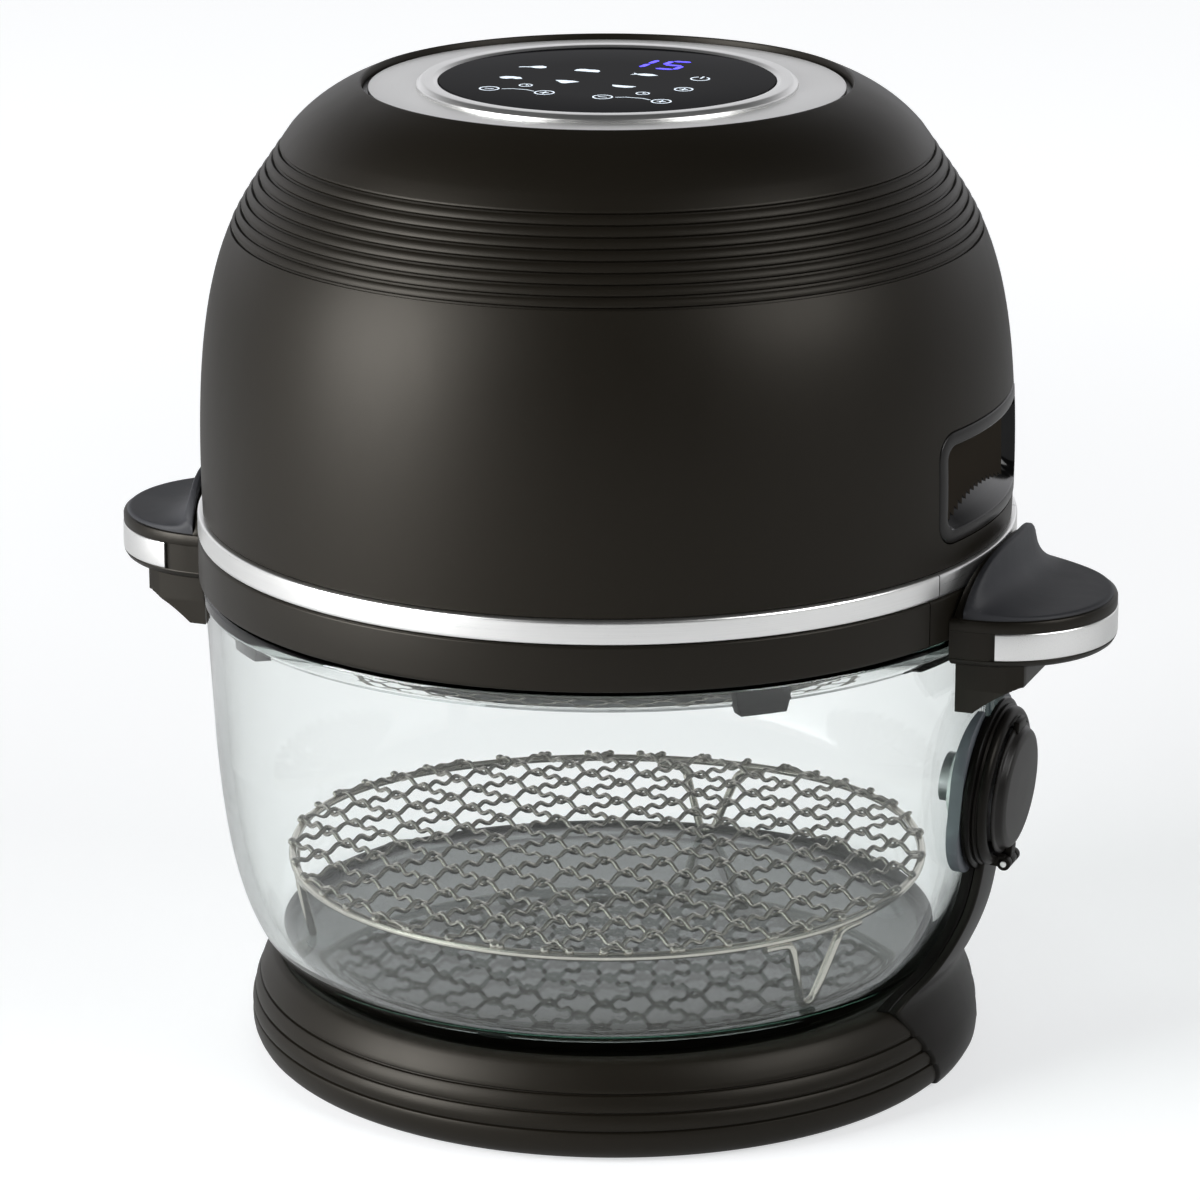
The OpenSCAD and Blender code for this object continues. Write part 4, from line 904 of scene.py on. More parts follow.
class OVEN_OT_bowl(Operator):
    """Builds the glass bowl with its thick floor, its rim bead and the hole for the spit drive."""

    bl_idname = "oven.bowl"
    bl_label = "Glass Bowl"

    def execute(self, context):
        floor = BOWL_Z + 7
        outer = [p for p in BOWL if p.y < RIM_Z - 7]
        inner = [p for p in moved_out(BOWL, -5) if floor + 4 < p.y < RIM_Z - 3]
        rim = soft_corners([(RIM_R - 1.1, RIM_Z - 7, 0), (RIM_R - 0.05, RIM_Z - 5.6, 0.9),
                            (RIM_R, RIM_Z - 1.0, 1.2), (RIM_R - 2.2, RIM_Z, 1.4), (RIM_R - 4.2, RIM_Z, 1.2),
                            (RIM_R - 5.7, RIM_Z - 2.2, 0)], closed=False)
        corner = cubic(inner[0], (inner[0].x - 2.6, floor + 1.8), (114.5, floor), (109, floor), 8)
        outline = [(0, BOWL_Z), (60, BOWL_Z), (112, BOWL_Z)] + [tuple(p) for p in outer]
        outline += [tuple(p) for p in rim] + [tuple(p) for p in inner[::-1]]
        outline += [tuple(p) for p in corner[1:]] + [(60, floor), (0, floor)]
        bowl = mesh_object("bowl_glass", lathe(outline, 224), [FINISH["glass"]])
        hole = bmesh.new()
        tube(hole, [POD @ Vector((x * MM, 0, 0)) / MM for x in (-30, 10)], 11.3, 64)
        cut(bowl, hole)
        smooth(bowl, 50)
        settle(bowl, ["glass_bowl"])
        return {"FINISHED"}


# The rack


def crimped_mesh_tree(finish):
    """Two families of crimped wires that cross over and under each other inside a ring."""
    tree = bpy.data.node_groups.new("Crimped Mesh", "GeometryNodeTree")
    tree.interface.new_socket("Geometry", in_out="OUTPUT", socket_type="NodeSocketGeometry")
    for name in ("Ring Radius", "Ring Height", "Wire Radius", "Pitch", "Half Angle", "Turn", "Crimp Height"):
        tree.interface.new_socket(name, in_out="INPUT", socket_type="NodeSocketFloat")
    get = add(tree, "NodeGroupInput").outputs
    steps = math_node(tree, "FLOOR", math_node(
        tree, "DIVIDE", math_node(tree, "SUBTRACT", get["Ring Radius"], 0.004), get["Pitch"]))
    count = math_node(tree, "MULTIPLY_ADD", steps, 2.0, 1.0)
    whole = add(tree, "FunctionNodeFloatToInt", {0: count}).outputs[0]
    double = math_node(tree, "MULTIPLY", get["Half Angle"], 2.0)
    cell = math_node(tree, "DIVIDE", get["Pitch"], math_node(tree, "SINE", double))
    start = math_node(tree, "MULTIPLY", math_node(tree, "MULTIPLY", steps, get["Pitch"]), -1.0)
    line = add(tree, "GeometryNodeMeshLine", {
        "Count": whole, "Start Location": add(tree, "ShaderNodeCombineXYZ", {"Y": start}).outputs[0],
        "Offset": add(tree, "ShaderNodeCombineXYZ", {"Y": get["Pitch"]}).outputs[0]}).outputs[0]
    number = math_node(tree, "SUBTRACT", add(tree, "GeometryNodeInputIndex").outputs[0], steps)
    numbered = add(tree, "GeometryNodeStoreNamedAttribute",
                   {"Geometry": line, "Name": "wire", "Value": number}, data_type="FLOAT").outputs[0]
    off = math_node(tree, "MULTIPLY", number, get["Pitch"])
    chord = math_node(tree, "SQRT", math_node(
        tree, "SUBTRACT", math_node(tree, "MULTIPLY", get["Ring Radius"], get["Ring Radius"]),
        math_node(tree, "MULTIPLY", off, off)))
    straight = add(tree, "GeometryNodeCurvePrimitiveLine", {"Start": (-1, 0, 0), "End": (1, 0, 0)}).outputs[0]
    fine = add(tree, "GeometryNodeResampleCurve", {"Curve": straight, "Count": 171}).outputs[0]
    placed = add(tree, "GeometryNodeInstanceOnPoints", {
        "Points": numbered, "Instance": fine,
        "Scale": add(tree, "ShaderNodeCombineXYZ", {"X": chord, "Y": 1.0, "Z": 1.0}).outputs[0]}).outputs[0]
    wires = add(tree, "GeometryNodeRealizeInstances", {0: placed}).outputs[0]
    wire = add(tree, "GeometryNodeInputNamedAttribute", {"Name": "wire"}, data_type="FLOAT").outputs[0]
    along = add(tree, "ShaderNodeSeparateXYZ", {0: add(tree, "GeometryNodeInputPosition").outputs[0]}).outputs
    reach = add(tree, "ShaderNodeVectorMath", {0: add(tree, "GeometryNodeInputPosition").outputs[0]},
                operation="LENGTH").outputs["Value"]
    fade = add(tree, "ShaderNodeMapRange", {
        "Value": math_node(tree, "SUBTRACT", get["Ring Radius"], reach), "From Min": 0.0, "From Max": 0.005})
    joined = add(tree, "GeometryNodeJoinGeometry")
    blobs = add(tree, "GeometryNodeJoinGeometry")
    drop = add(tree, "GeometryNodeMeshIcoSphere", {"Radius": 0.0017, "Subdivisions": 2}).outputs[0]
    for family in (1.0, -1.0):
        share = math_node(tree, "MULTIPLY_ADD", math_node(tree, "DIVIDE", along["X"], cell), family,
                          math_node(tree, "MULTIPLY", wire, math_node(tree, "COSINE", double)))
        phase = math_node(tree, "MULTIPLY_ADD", share, 3.0, wire)
        wave = math_node(tree, "COSINE", math_node(tree, "MULTIPLY", phase, math.pi))
        tall = math_node(tree, "MULTIPLY", math_node(tree, "MULTIPLY", wave, fade.outputs[0]),
                         math_node(tree, "MULTIPLY", get["Crimp Height"], family))
        bent = add(tree, "GeometryNodeSetPosition", {
            "Geometry": wires, "Offset": add(tree, "ShaderNodeCombineXYZ", {"Z": tall}).outputs[0]}).outputs[0]
        turn = math_node(tree, "MULTIPLY_ADD", get["Half Angle"], family, get["Turn"])
        turned = add(tree, "GeometryNodeTransform", {
            "Geometry": bent, "Rotation": add(tree, "ShaderNodeCombineXYZ", {"Z": turn}).outputs[0],
            "Translation": add(tree, "ShaderNodeCombineXYZ", {"Z": get["Ring Height"]}).outputs[0]}).outputs[0]
        ends = add(tree, "GeometryNodeCurveEndpointSelection", {"Start Size": 1, "End Size": 1}).outputs[0]
        welds = add(tree, "GeometryNodeInstanceOnPoints", {
            "Points": turned, "Selection": ends, "Instance": drop, "Scale": (1.0, 1.0, 0.8)}).outputs[0]
        tree.links.new(turned, joined.inputs[0])
        tree.links.new(welds, blobs.inputs[0])
    circle = add(tree, "GeometryNodeCurvePrimitiveCircle", {"Resolution": 7, "Radius": get["Wire Radius"]})
    tubes = add(tree, "GeometryNodeCurveToMesh", {
        "Curve": joined.outputs[0], "Profile Curve": circle.outputs[0], "Fill Caps": True}).outputs[0]
    real = add(tree, "GeometryNodeRealizeInstances", {0: blobs.outputs[0]}).outputs[0]
    both = add(tree, "GeometryNodeJoinGeometry")
    tree.links.new(real, both.inputs[0])
    tree.links.new(tubes, both.inputs[0])
    round_shade = add(tree, "GeometryNodeSetShadeSmooth", {"Geometry": both.outputs[0]}).outputs[0]
    coloured = add(tree, "GeometryNodeSetMaterial", {"Geometry": round_shade, "Material": finish}).outputs[0]
    add(tree, "NodeGroupOutput", {"Geometry": coloured})
    return tree


def grown(name, tree, values):
    """An object made by a geometry tree with these values, baked to a plain mesh."""
    obj = bpy.data.objects.new(name, bpy.data.meshes.new(name))
    bpy.context.scene.collection.objects.link(obj)
    modifier = obj.modifiers.new("Build", "NODES")
    modifier.node_group = tree
    for item in tree.interface.items_tree:
        if item.in_out == "INPUT" and item.name in values:
            modifier[item.identifier] = values[item.name]
    applied(obj)
    if not obj.data.polygons:
        raise RuntimeError(name + " came out empty")
    return obj


class OVEN_OT_rack(Operator):
    """Builds the round wire rack: the rim ring, the crimped mesh and the three bent legs."""

    bl_idname = "oven.rack"
    bl_label = "Wire Rack"

    def execute(self, context):
        sizes = context.scene.oven_rack
        # the mesh's finish carries painted shade, a darker copy of the plated rim wire
        tree = crimped_mesh_tree(FINISH["mesh"])
        mesh = grown("crimped_mesh", tree, {
            "Ring Radius": (RACK_R + 0.3) * MM, "Ring Height": (RACK_Z + RACK_WIRE_R + 0.65) * MM,
            "Wire Radius": sizes.wire_radius, "Pitch": sizes.pitch, "Half Angle": sizes.half_angle,
            "Turn": sizes.turn, "Crimp Height": sizes.crimp})
        settle(mesh, ["rack_mesh"])
        circle = [(RACK_R + RACK_WIRE_R * math.cos(a), RACK_Z + RACK_WIRE_R * math.sin(a))
                  for a in (2 * math.pi * k / 16 for k in range(16))]
        piece("rack_ring", lathe(circle, 224), FINISH["wire"], ["rack_rim"], angle=80)
        legs = bmesh.new()
        top, bottom = RACK_Z - 2 * RACK_WIRE_R + 0.5, BOWL_Z + 7 + RACK_WIRE_R
        side = soft_corners([(-22, top, 0), (-11.5, top, 4), (-2.6, bottom, 3), (2.6, bottom, 3),
                             (11.5, top, 4), (22, top, 0)], steps=7, closed=False)
        for turn in (-30, 90, 210):
            angle = math.radians(turn)
            across = Vector((-math.sin(angle), math.cos(angle), 0))
            points = []
            for y, z in side:
                reach = RACK_R - 0.4 - (RACK_Z - z) * 0.19
                if abs(y) > 11:
                    reach = math.sqrt(reach ** 2 - y * y)
                points.append(Vector((math.cos(angle) * reach, math.sin(angle) * reach, z)) + across * y)
            tube(legs, points, RACK_WIRE_R, 14)
        piece("rack_leg_wires", legs, FINISH["wire"], ["rack_legs"], angle=60)
        return {"FINISHED"}


# The lid


class OVEN_OT_dome(Operator):
    """Builds the ribbed dome, the silver band, the skirt ring and the lid guide."""

    bl_idname = "oven.dome"
    bl_label = "Dome and Skirt"

    def dome(self, sizes):
        depth, pitch = sizes.rib_depth / MM, sizes.rib_pitch / MM
        grooves = sorted(TOP_Z - 23.2 - k * pitch for k in range(sizes.rib_count))
        rows = [Vector((DOME_R - 0.4, DOME_Z)), at_depth(SIDE, DOME_Z + 0.5, 0)]
        z = DOME_Z + 4
        while z < grooves[0] - 3.5:
            rows.append(at_depth(SIDE, z, 0))
            z += 3.6
        for i, groove in enumerate(grooves):
            rows.append(at_depth(SIDE, groove - pitch / 2, -0.22 if i else 0))
            rows.append(at_depth(SIDE, groove - pitch / 3, -0.12 if i else 0))
            for up, share in ((-0.66, 0), (-0.5, 0.1), (-0.42, 0.45), (-0.3, 1), (0.3, 1), (0.42, 0.45),
                              (0.5, 0.1), (0.66, 0)):
                rows.append(at_depth(SIDE, groove + up, depth * share))
            rows.append(at_depth(SIDE, groove + pitch / 3, -0.12 if i < len(grooves) - 1 else 0))
        rows += CAP[1:-1]
        lip = soft_corners([(CAP[-2].x, CAP[-2].y, 0), (DISC_R + 2.6, TOP_Z - 0.05, 0.8),
                            (DISC_R + 2.1, TOP_Z - 2.5, 0.4), (DISC_R + 2.2, TOP_Z - 12, 0.3),
                            (DISC_R - 3.5, TOP_Z - 12, 0.2), (DISC_R - 3.5, TOP_Z - 14, 0)], closed=False)
        inside = [p for p in moved_out(SIDE + CAP[1:], -2.6) if DOME_Z + 1 < p.y < TOP_Z - 15][::-6]
        outline = rows + lip[1:] + inside + [Vector((DOME_R - 2.6, DOME_Z))]
        dome = mesh_object("dome_form", lathe([tuple(p) for p in outline], 240), [FINISH["shell"]])
        for side in (1, -1):
            cutter = bmesh.new()
            shape = rounded_rectangle(sizes.vent_width / MM + 0.9, sizes.vent_height / MM + 0.9, 9.4)
            bridge(cutter, [[(side * x, y, VENT_Z + z) for y, z in shape] for x in (115, 165)], closed=False)
            cut(dome, cutter)
        smooth(dome, 34)
        settle(dome, ["dome_shell"])

    def band(self):
        outline = soft_corners([(DOME_R - 2.6, DOME_Z - 8.7, 0), (BAND_R - 0.4, DOME_Z - 8.7, 0.5),
                                (BAND_R, DOME_Z - 7.9, 0.5), (BAND_R, DOME_Z - 0.9, 0.5),
                                (BAND_R - 0.5, DOME_Z - 0.1, 0.5), (DOME_R - 2.6, DOME_Z - 0.1, 0)])
        outline = [tuple(p) for p in outline]
        bm = bmesh.new()
        seams = [math.radians(a) for a in (18.5, 161.5, 198.5, 341.5)]
        for a, b in zip(seams, seams[1:] + [seams[0] + 2 * math.pi]):
            steps = max(20, int((b - a) * 36))
            part = lathe(outline, steps, start=a + 0.0018, sweep=b - a - 0.0036)
            mesh = bpy.data.meshes.new("part")
            part.to_mesh(mesh)
            part.free()
            bm.from_mesh(mesh)
            bpy.data.meshes.remove(mesh)
        piece("band_form", bm, FINISH["silver"], ["silver_band"], angle=50)

    def skirt(self):
        seat = RIM_Z + 5.2
        outline = soft_corners([(DOME_R - 20, seat, 0), (BAND_R - 3, seat, 0), (BAND_R - 3, SKIRT_Z + 2, 0.3),
                                (BAND_R - 1.6, SKIRT_Z, 0.8), (BAND_R, SKIRT_Z + 0.2, 1.6),
                                (BAND_R, SKIRT_Z + 16.2, 0.4), (BAND_R - 0.8, SKIRT_Z + 16.9, 0.4),
                                (DOME_R - 3.2, SKIRT_Z + 17, 0), (DOME_R - 3.2, SKIRT_Z + 32, 0),
                                (DOME_R - 5.6, SKIRT_Z + 32, 0), (DOME_R - 5.6, SKIRT_Z + 14, 0),
                                (BAND_R - 3, SKIRT_Z + 14, 0), (BAND_R - 3, seat + 3, 0),
                                (DOME_R - 20, seat + 3, 0)])
        skirt = mesh_object("skirt_form", lathe([tuple(p) for p in outline], 224), [FINISH["skirt"]])
        lines = bmesh.new()
        for degrees in (20.5, 159.5, 200.5, 339.5):
            turn = Matrix.Rotation(math.radians(degrees), 4, "Z")
            block(lines, (2, 0.45, 22), (BAND_R + 0.35, 0, SKIRT_Z + 8), turn)
        cut(skirt, lines)
        smooth(skirt, 40)
        settle(skirt, ["skirt_ring"])

    def execute(self, context):
        self.dome(context.scene.oven_dome)
        self.band()
        self.skirt()
        softened("lid_guide", FINISH["arm"], 0.5, 40)
        softened("mains_gland", FINISH["rubber"], 0.5, 40)
        return {"FINISHED"}


# The side vents


def on_dome(y, z, offset, side):
    """A point on the dome's face at (y, z), moved out along X."""
    radius = radius_at(SIDE, z)
    return side * (math.sqrt(radius * radius - y * y) + offset), y, z


def fins_tree(finish):
    """Slanted fins side by side; the dark back behind them is added by the vents step."""
    tree = bpy.data.node_groups.new("Vent Fins", "GeometryNodeTree")
    tree.interface.new_socket("Geometry", in_out="OUTPUT", socket_type="NodeSocketGeometry")
    tree.interface.new_socket("Fins", in_out="INPUT", socket_type="NodeSocketInt")
    for name in ("Place", "Span", "Height", "Middle", "Slant"):
        tree.interface.new_socket(name, in_out="INPUT", socket_type="NodeSocketFloat")
    get = add(tree, "NodeGroupInput").outputs
    half = math_node(tree, "MULTIPLY", get["Span"], 0.5)
    ends = [add(tree, "ShaderNodeCombineXYZ", {
        "X": get["Place"], "Y": math_node(tree, "MULTIPLY", half, side), "Z": get["Middle"]}).outputs[0]
        for side in (-1.0, 1.0)]
    line = add(tree, "GeometryNodeMeshLine", {"Count": get["Fins"], "Start Location": ends[0],
                                              "Offset": ends[1]}, mode="END_POINTS").outputs[0]
    size = add(tree, "ShaderNodeCombineXYZ", {"X": 0.0045, "Y": 0.0015, "Z": get["Height"]}).outputs[0]
    fin = add(tree, "GeometryNodeMeshCube", {"Size": size}).outputs[0]
    lean = add(tree, "ShaderNodeCombineXYZ", {"X": get["Slant"], "Z": 0.35}).outputs[0]
    fins = add(tree, "GeometryNodeInstanceOnPoints", {"Points": line, "Instance": fin, "Rotation": lean})
    real = add(tree, "GeometryNodeRealizeInstances", {0: fins.outputs[0]}).outputs[0]
    coloured = add(tree, "GeometryNodeSetMaterial", {"Geometry": real, "Material": finish}).outputs[0]
    add(tree, "NodeGroupOutput", {"Geometry": coloured})
    return tree


class OVEN_OT_vents(Operator):
    """Builds the framed vents in the dome's sides, with their glossy funnels and slanted fins."""

    bl_idname = "oven.vents"
    bl_label = "Side Vents"

    def frame_piece(self, side, word, sizes):
        width, height = sizes.vent_width / MM, sizes.vent_height / MM
        loops = []
        for narrower, radius, offset, up in (
                (0.0, 9.0, -3.0, 0), (0.0, 9.0, -0.25, 0), (0.3, 8.8, 0.1, 0), (0.9, 8.5, 0.25, 0),
                (8.6, 5.6, 0.25, 0), (9.4, 5.2, 0.05, 0), (10.0, 5.0, -0.6, 0), (10.6, 4.8, -2.0, 0.2),
                (13.0, 4.6, -5.5, 1.2), (17.0, 4.2, -9.0, 2.6), (20.0, 4.0, -11.5, 3.4), (9.0, 6.0, -11.0, 1.0)):
            shape = rounded_rectangle(width - narrower, height - narrower, radius)
            loops.append([on_dome(y, VENT_Z + z + up, offset, side) for y, z in shape])
        bm = bmesh.new()
        bridge(bm, loops)
        obj = mesh_object("vent_border_" + word, bm, [FINISH["vent"], FINISH["gloss"]])
        inner = (radius_at(SIDE, VENT_Z) - 0.4) * MM
        for face in obj.data.polygons:
            centre = face.center
            reach = math.hypot(centre.x, centre.y)
            inside = abs(centre.y) < (width / 2 - 4.2) * MM and abs(centre.z - VENT_Z * MM) < (height / 2 - 4.2) * MM
            if inside and reach < inner + 0.0006:
                face.material_index = 1
        smooth(obj, 40)
        settle(obj, ["vent_frame_" + word])

    def execute(self, context):
        sizes = context.scene.oven_dome
        tree = fins_tree(FINISH["fins"])
        for side, word in ((1, "right"), (-1, "left")):
            self.frame_piece(side, word, sizes)
            fins = grown("fins_" + word, tree, {
                "Fins": sizes.fin_count, "Place": side * 137.2 * MM, "Span": 68 * MM, "Height": 27 * MM,
                "Middle": VENT_Z * MM, "Slant": math.radians(-16)})
            backing = bmesh.new()
            backing.from_mesh(fins.data)
            block(backing, (0.8, 76, 30), (side * 131.5, 0, VENT_Z))
            backing.to_mesh(fins.data)
            backing.free()
            settle(fins, ["vent_fins_" + word])
        return {"FINISHED"}


# The control panel


def flat_shape(bm, points, lift=0.0):
    """A thin plate on the touch panel, from points (x, y) round it."""
    z = PANEL_Z + 0.01 + lift
    upper = [bm.verts.new(Vector((x, y, z + 0.04)) * MM) for x, y in points]
    lower = [bm.verts.new(Vector((x, y, z)) * MM) for x, y in points]
    bm.faces.new(upper)
    bm.faces.new(lower[::-1])
    for k in range(len(points)):
        m = (k + 1) % len(points)
        bm.faces.new((upper[k], lower[k], lower[m], upper[m]))


def stroke(bm, points, width=0.7, closed=False):
    """A flat line of even width on the touch panel."""
    points = [Vector(p) for p in points]
    count = len(points)
    sides = []
    for i in range(count):
        after = points[(i + 1) % count] if closed else points[min(i + 1, count - 1)]
        before = points[i - 1] if closed else points[max(i - 1, 0)]
        along = (after - before).normalized()
        across = Vector((-along.y, along.x)) * width / 2
        sides.append((points[i] + across, points[i] - across))
    pairs = zip(sides, sides[1:] + sides[:1]) if closed else zip(sides, sides[1:])
    for (a, b), (c, d) in pairs:
        flat_shape(bm, [a, c, d, b])


def ring_points(x, y, radius, start=0, end=360, steps=28):
    """Points round a circle or an arc on the touch panel."""
    full = end - start >= 360
    return [(x + radius * math.cos(math.radians(start + (end - start) * k / steps)),
             y + radius * math.sin(math.radians(start + (end - start) * k / steps)))
            for k in range(steps if full else steps + 1)]


def moved(points, x, y, size=1.0):
    """Points of a small mark, put in its place."""
    return [(x + size * a, y + size * b) for a, b in points]


MARKS = {
    "drumstick": [(-4, -1.5), (-3.1, -0.9), (-1.2, -0.5), (0.2, 1.1), (2.2, 2.0), (3.9, 1.2), (4.3, -0.4),
                  (3.2, -1.7), (1.2, -1.9), (-0.8, -1.2), (-2.9, -1.7), (-3.7, -2.4), (-4.3, -2.1)],
    "fish": [(-4.4, 1.7), (-2.8, 0.5), (-0.6, 1.7), (1.8, 1.6), (4.3, 0.1), (1.8, -1.5), (-0.6, -1.5),
             (-2.8, -0.4), (-4.4, -1.7), (-3.6, 0)],
    "loaf": [(-4, -1.6), (-4, 0.3), (-3.1, 1.6), (-1.4, 1.9), (0, 1.5), (1.4, 1.9), (3.1, 1.6), (4, 0.3),
             (4, -1.6)],
    "slice": [(-4, 1.3), (-1.5, 2.1), (1.5, 2.1), (4, 1.3), (0.6, -2.4), (-0.6, -2.4)],
    "bowl": [(-4, 0.6), (4, 0.6), (3.2, -1.2), (1.6, -2.2), (-1.6, -2.2), (-3.2, -1.2)],
    "chop": [(-3.8, -0.4), (-2.6, 1.5), (0, 2.1), (2.7, 1.4), (3.9, -0.5), (2.2, -1.3), (0.8, -0.8),
             (-0.8, -2.0), (-2.6, -1.9)],
}


class OVEN_OT_panel(Operator):
    """Builds the silver top disc, the bezel, the touch panel, its marks and its lit digits."""

    bl_idname = "oven.panel"
    bl_label = "Control Panel"

    def marks(self):
        bm = bmesh.new()
        for name, x, y in (("drumstick", -33, 12), ("loaf", -12, 12), ("fish", 10, 12), ("chop", -33, -10),
                           ("slice", -12, -10), ("bowl", 10, -10)):
            flat_shape(bm, moved(MARKS[name], x, y, 1.15))
        stroke(bm, ring_points(31, 12, 3.3, 118, 422), 0.6)
        stroke(bm, [(31, 12.6), (31, 16.2)], 0.7)
        stroke(bm, ring_points(32, -8, 3.2), 0.6, True)
        stroke(bm, [(30.4, -8), (33.6, -8)], 0.6)
        stroke(bm, [(32, -9.6), (32, -6.4)], 0.6)
        for left, right, middle in ((-33, -12, (-23, -21)), (10, 32, (21, -20))):
            for x, minus in ((left, True), (right, False)):
                stroke(bm, ring_points(x, -31, 3.4), 0.6, True)
                stroke(bm, [(x - 1.7, -31), (x + 1.7, -31)], 0.6)
                if not minus:
                    stroke(bm, [(x, -32.7), (x, -29.3)], 0.6)
            stroke(bm, [(left + 4.4, -30), (left + 8, -28.4), (right - 8, -28.4), (right - 4.4, -30)], 0.45)
            stroke(bm, ring_points(*middle, 2.3), 0.5, True)
            stroke(bm, [(middle[0], middle[1] + 1.5), middle, (middle[0] + 1.2, middle[1])], 0.45)
        flat = mesh_object("panel_marks", bm, [FINISH["mark"]])
        settle(flat, body="lid")

    def digits(self):
        bm = bmesh.new()
        length, slim = 7.4, 2.1
        segments = {"a": (0, length, 0), "b": (length / 2, length / 2, 1), "c": (length / 2, -length / 2, 1),
                    "d": (0, -length, 0), "e": (-length / 2, -length / 2, 1), "f": (-length / 2, length / 2, 1),
                    "g": (0, 0, 0)}
        for x, lit in ((0.5, "bc"), (13.5, "afgcd")):
            for name in lit:
                sx, sy, upright = segments[name]
                a, b = length / 2 - 0.35, slim / 2
                shape = [(-a + b, b), (a - b, b), (a, 0), (a - b, -b), (-a + b, -b), (-a, 0)]
                if upright:
                    shape = [(-q, p) for p, q in shape]
                flat_shape(bm, [(x + sx + p + (sy + q) * 0.12, 32 + sy + q) for p, q in shape])
        lit = mesh_object("lit_digits", bm, [FINISH["digit"]])
        settle(lit, body="lid")

    def execute(self, context):
        disc = soft_corners([(PANEL_R + 0.8, DISC_Z - 1.2, 0), (DISC_R, DISC_Z - 1.2, 0.2),
                             (DISC_R, DISC_Z, 0.5), (PANEL_R + 0.8, DISC_Z, 0.2)])
        disc = lathe([tuple(p) for p in disc], 224)
        piece("disc_form", disc, FINISH["disc"], ["top_disc"], angle=30)
        bezel = soft_corners([(PANEL_R + 0.3, DISC_Z, 0), (BEZEL_R, DISC_Z, 0), (BEZEL_R, DISC_Z + 0.9, 0.4),
                              (BEZEL_R - 1.7, DISC_Z + 2.4, 0.7), (PANEL_R + 2.0, DISC_Z + 2.4, 0.5),
                              (PANEL_R + 0.3, DISC_Z + 1.6, 0.3)])
        piece("bezel_form", lathe([tuple(p) for p in bezel], 224), FINISH["bright"],
              ["panel_bezel"], angle=30)
        glass = soft_corners([(0, PANEL_Z - 3.3, 0), (PANEL_R, PANEL_Z - 3.3, 0), (PANEL_R, PANEL_Z, 0.4),
                              (30, PANEL_Z, 0), (0, PANEL_Z, 0)])
        piece("panel_form", lathe([tuple(p) for p in glass], 192), FINISH["panel"],
              ["touch_panel"], angle=40)
        self.marks()
        self.digits()
        return {"FINISHED"}


# The handles


def handle_outline(inset, count=72):
    """The handle's outline seen from above, without its side along the lid."""
    a, b = HANDLE_REACH - inset, HANDLE_HALF - inset
    return [(BAND_R + a * math.cos(t), b * math.sin(t))
            for t in (-math.pi / 2 + math.pi * k / count for k in range(count + 1))]


GUARD_SIDE = cubic((0.95, 2.9), (0.24, 3.8), (0.0, 8.6), (0, 23.6), 16)


def guard_height(y):
    """How high the thumb guard stands above the pad, across the handle."""
    share = min(1, abs(y) / 41.5)
    return 19.6 * max(0, 1 - share ** 3.2) ** 0.8


def guard_share(distance):
    """How much of the guard's height is left at a distance from its inner face."""
    if distance < 2.9:
        return 1 - 0.05 * max(0, distance - 2.2) / 0.7
    return radius_at(GUARD_SIDE, distance)


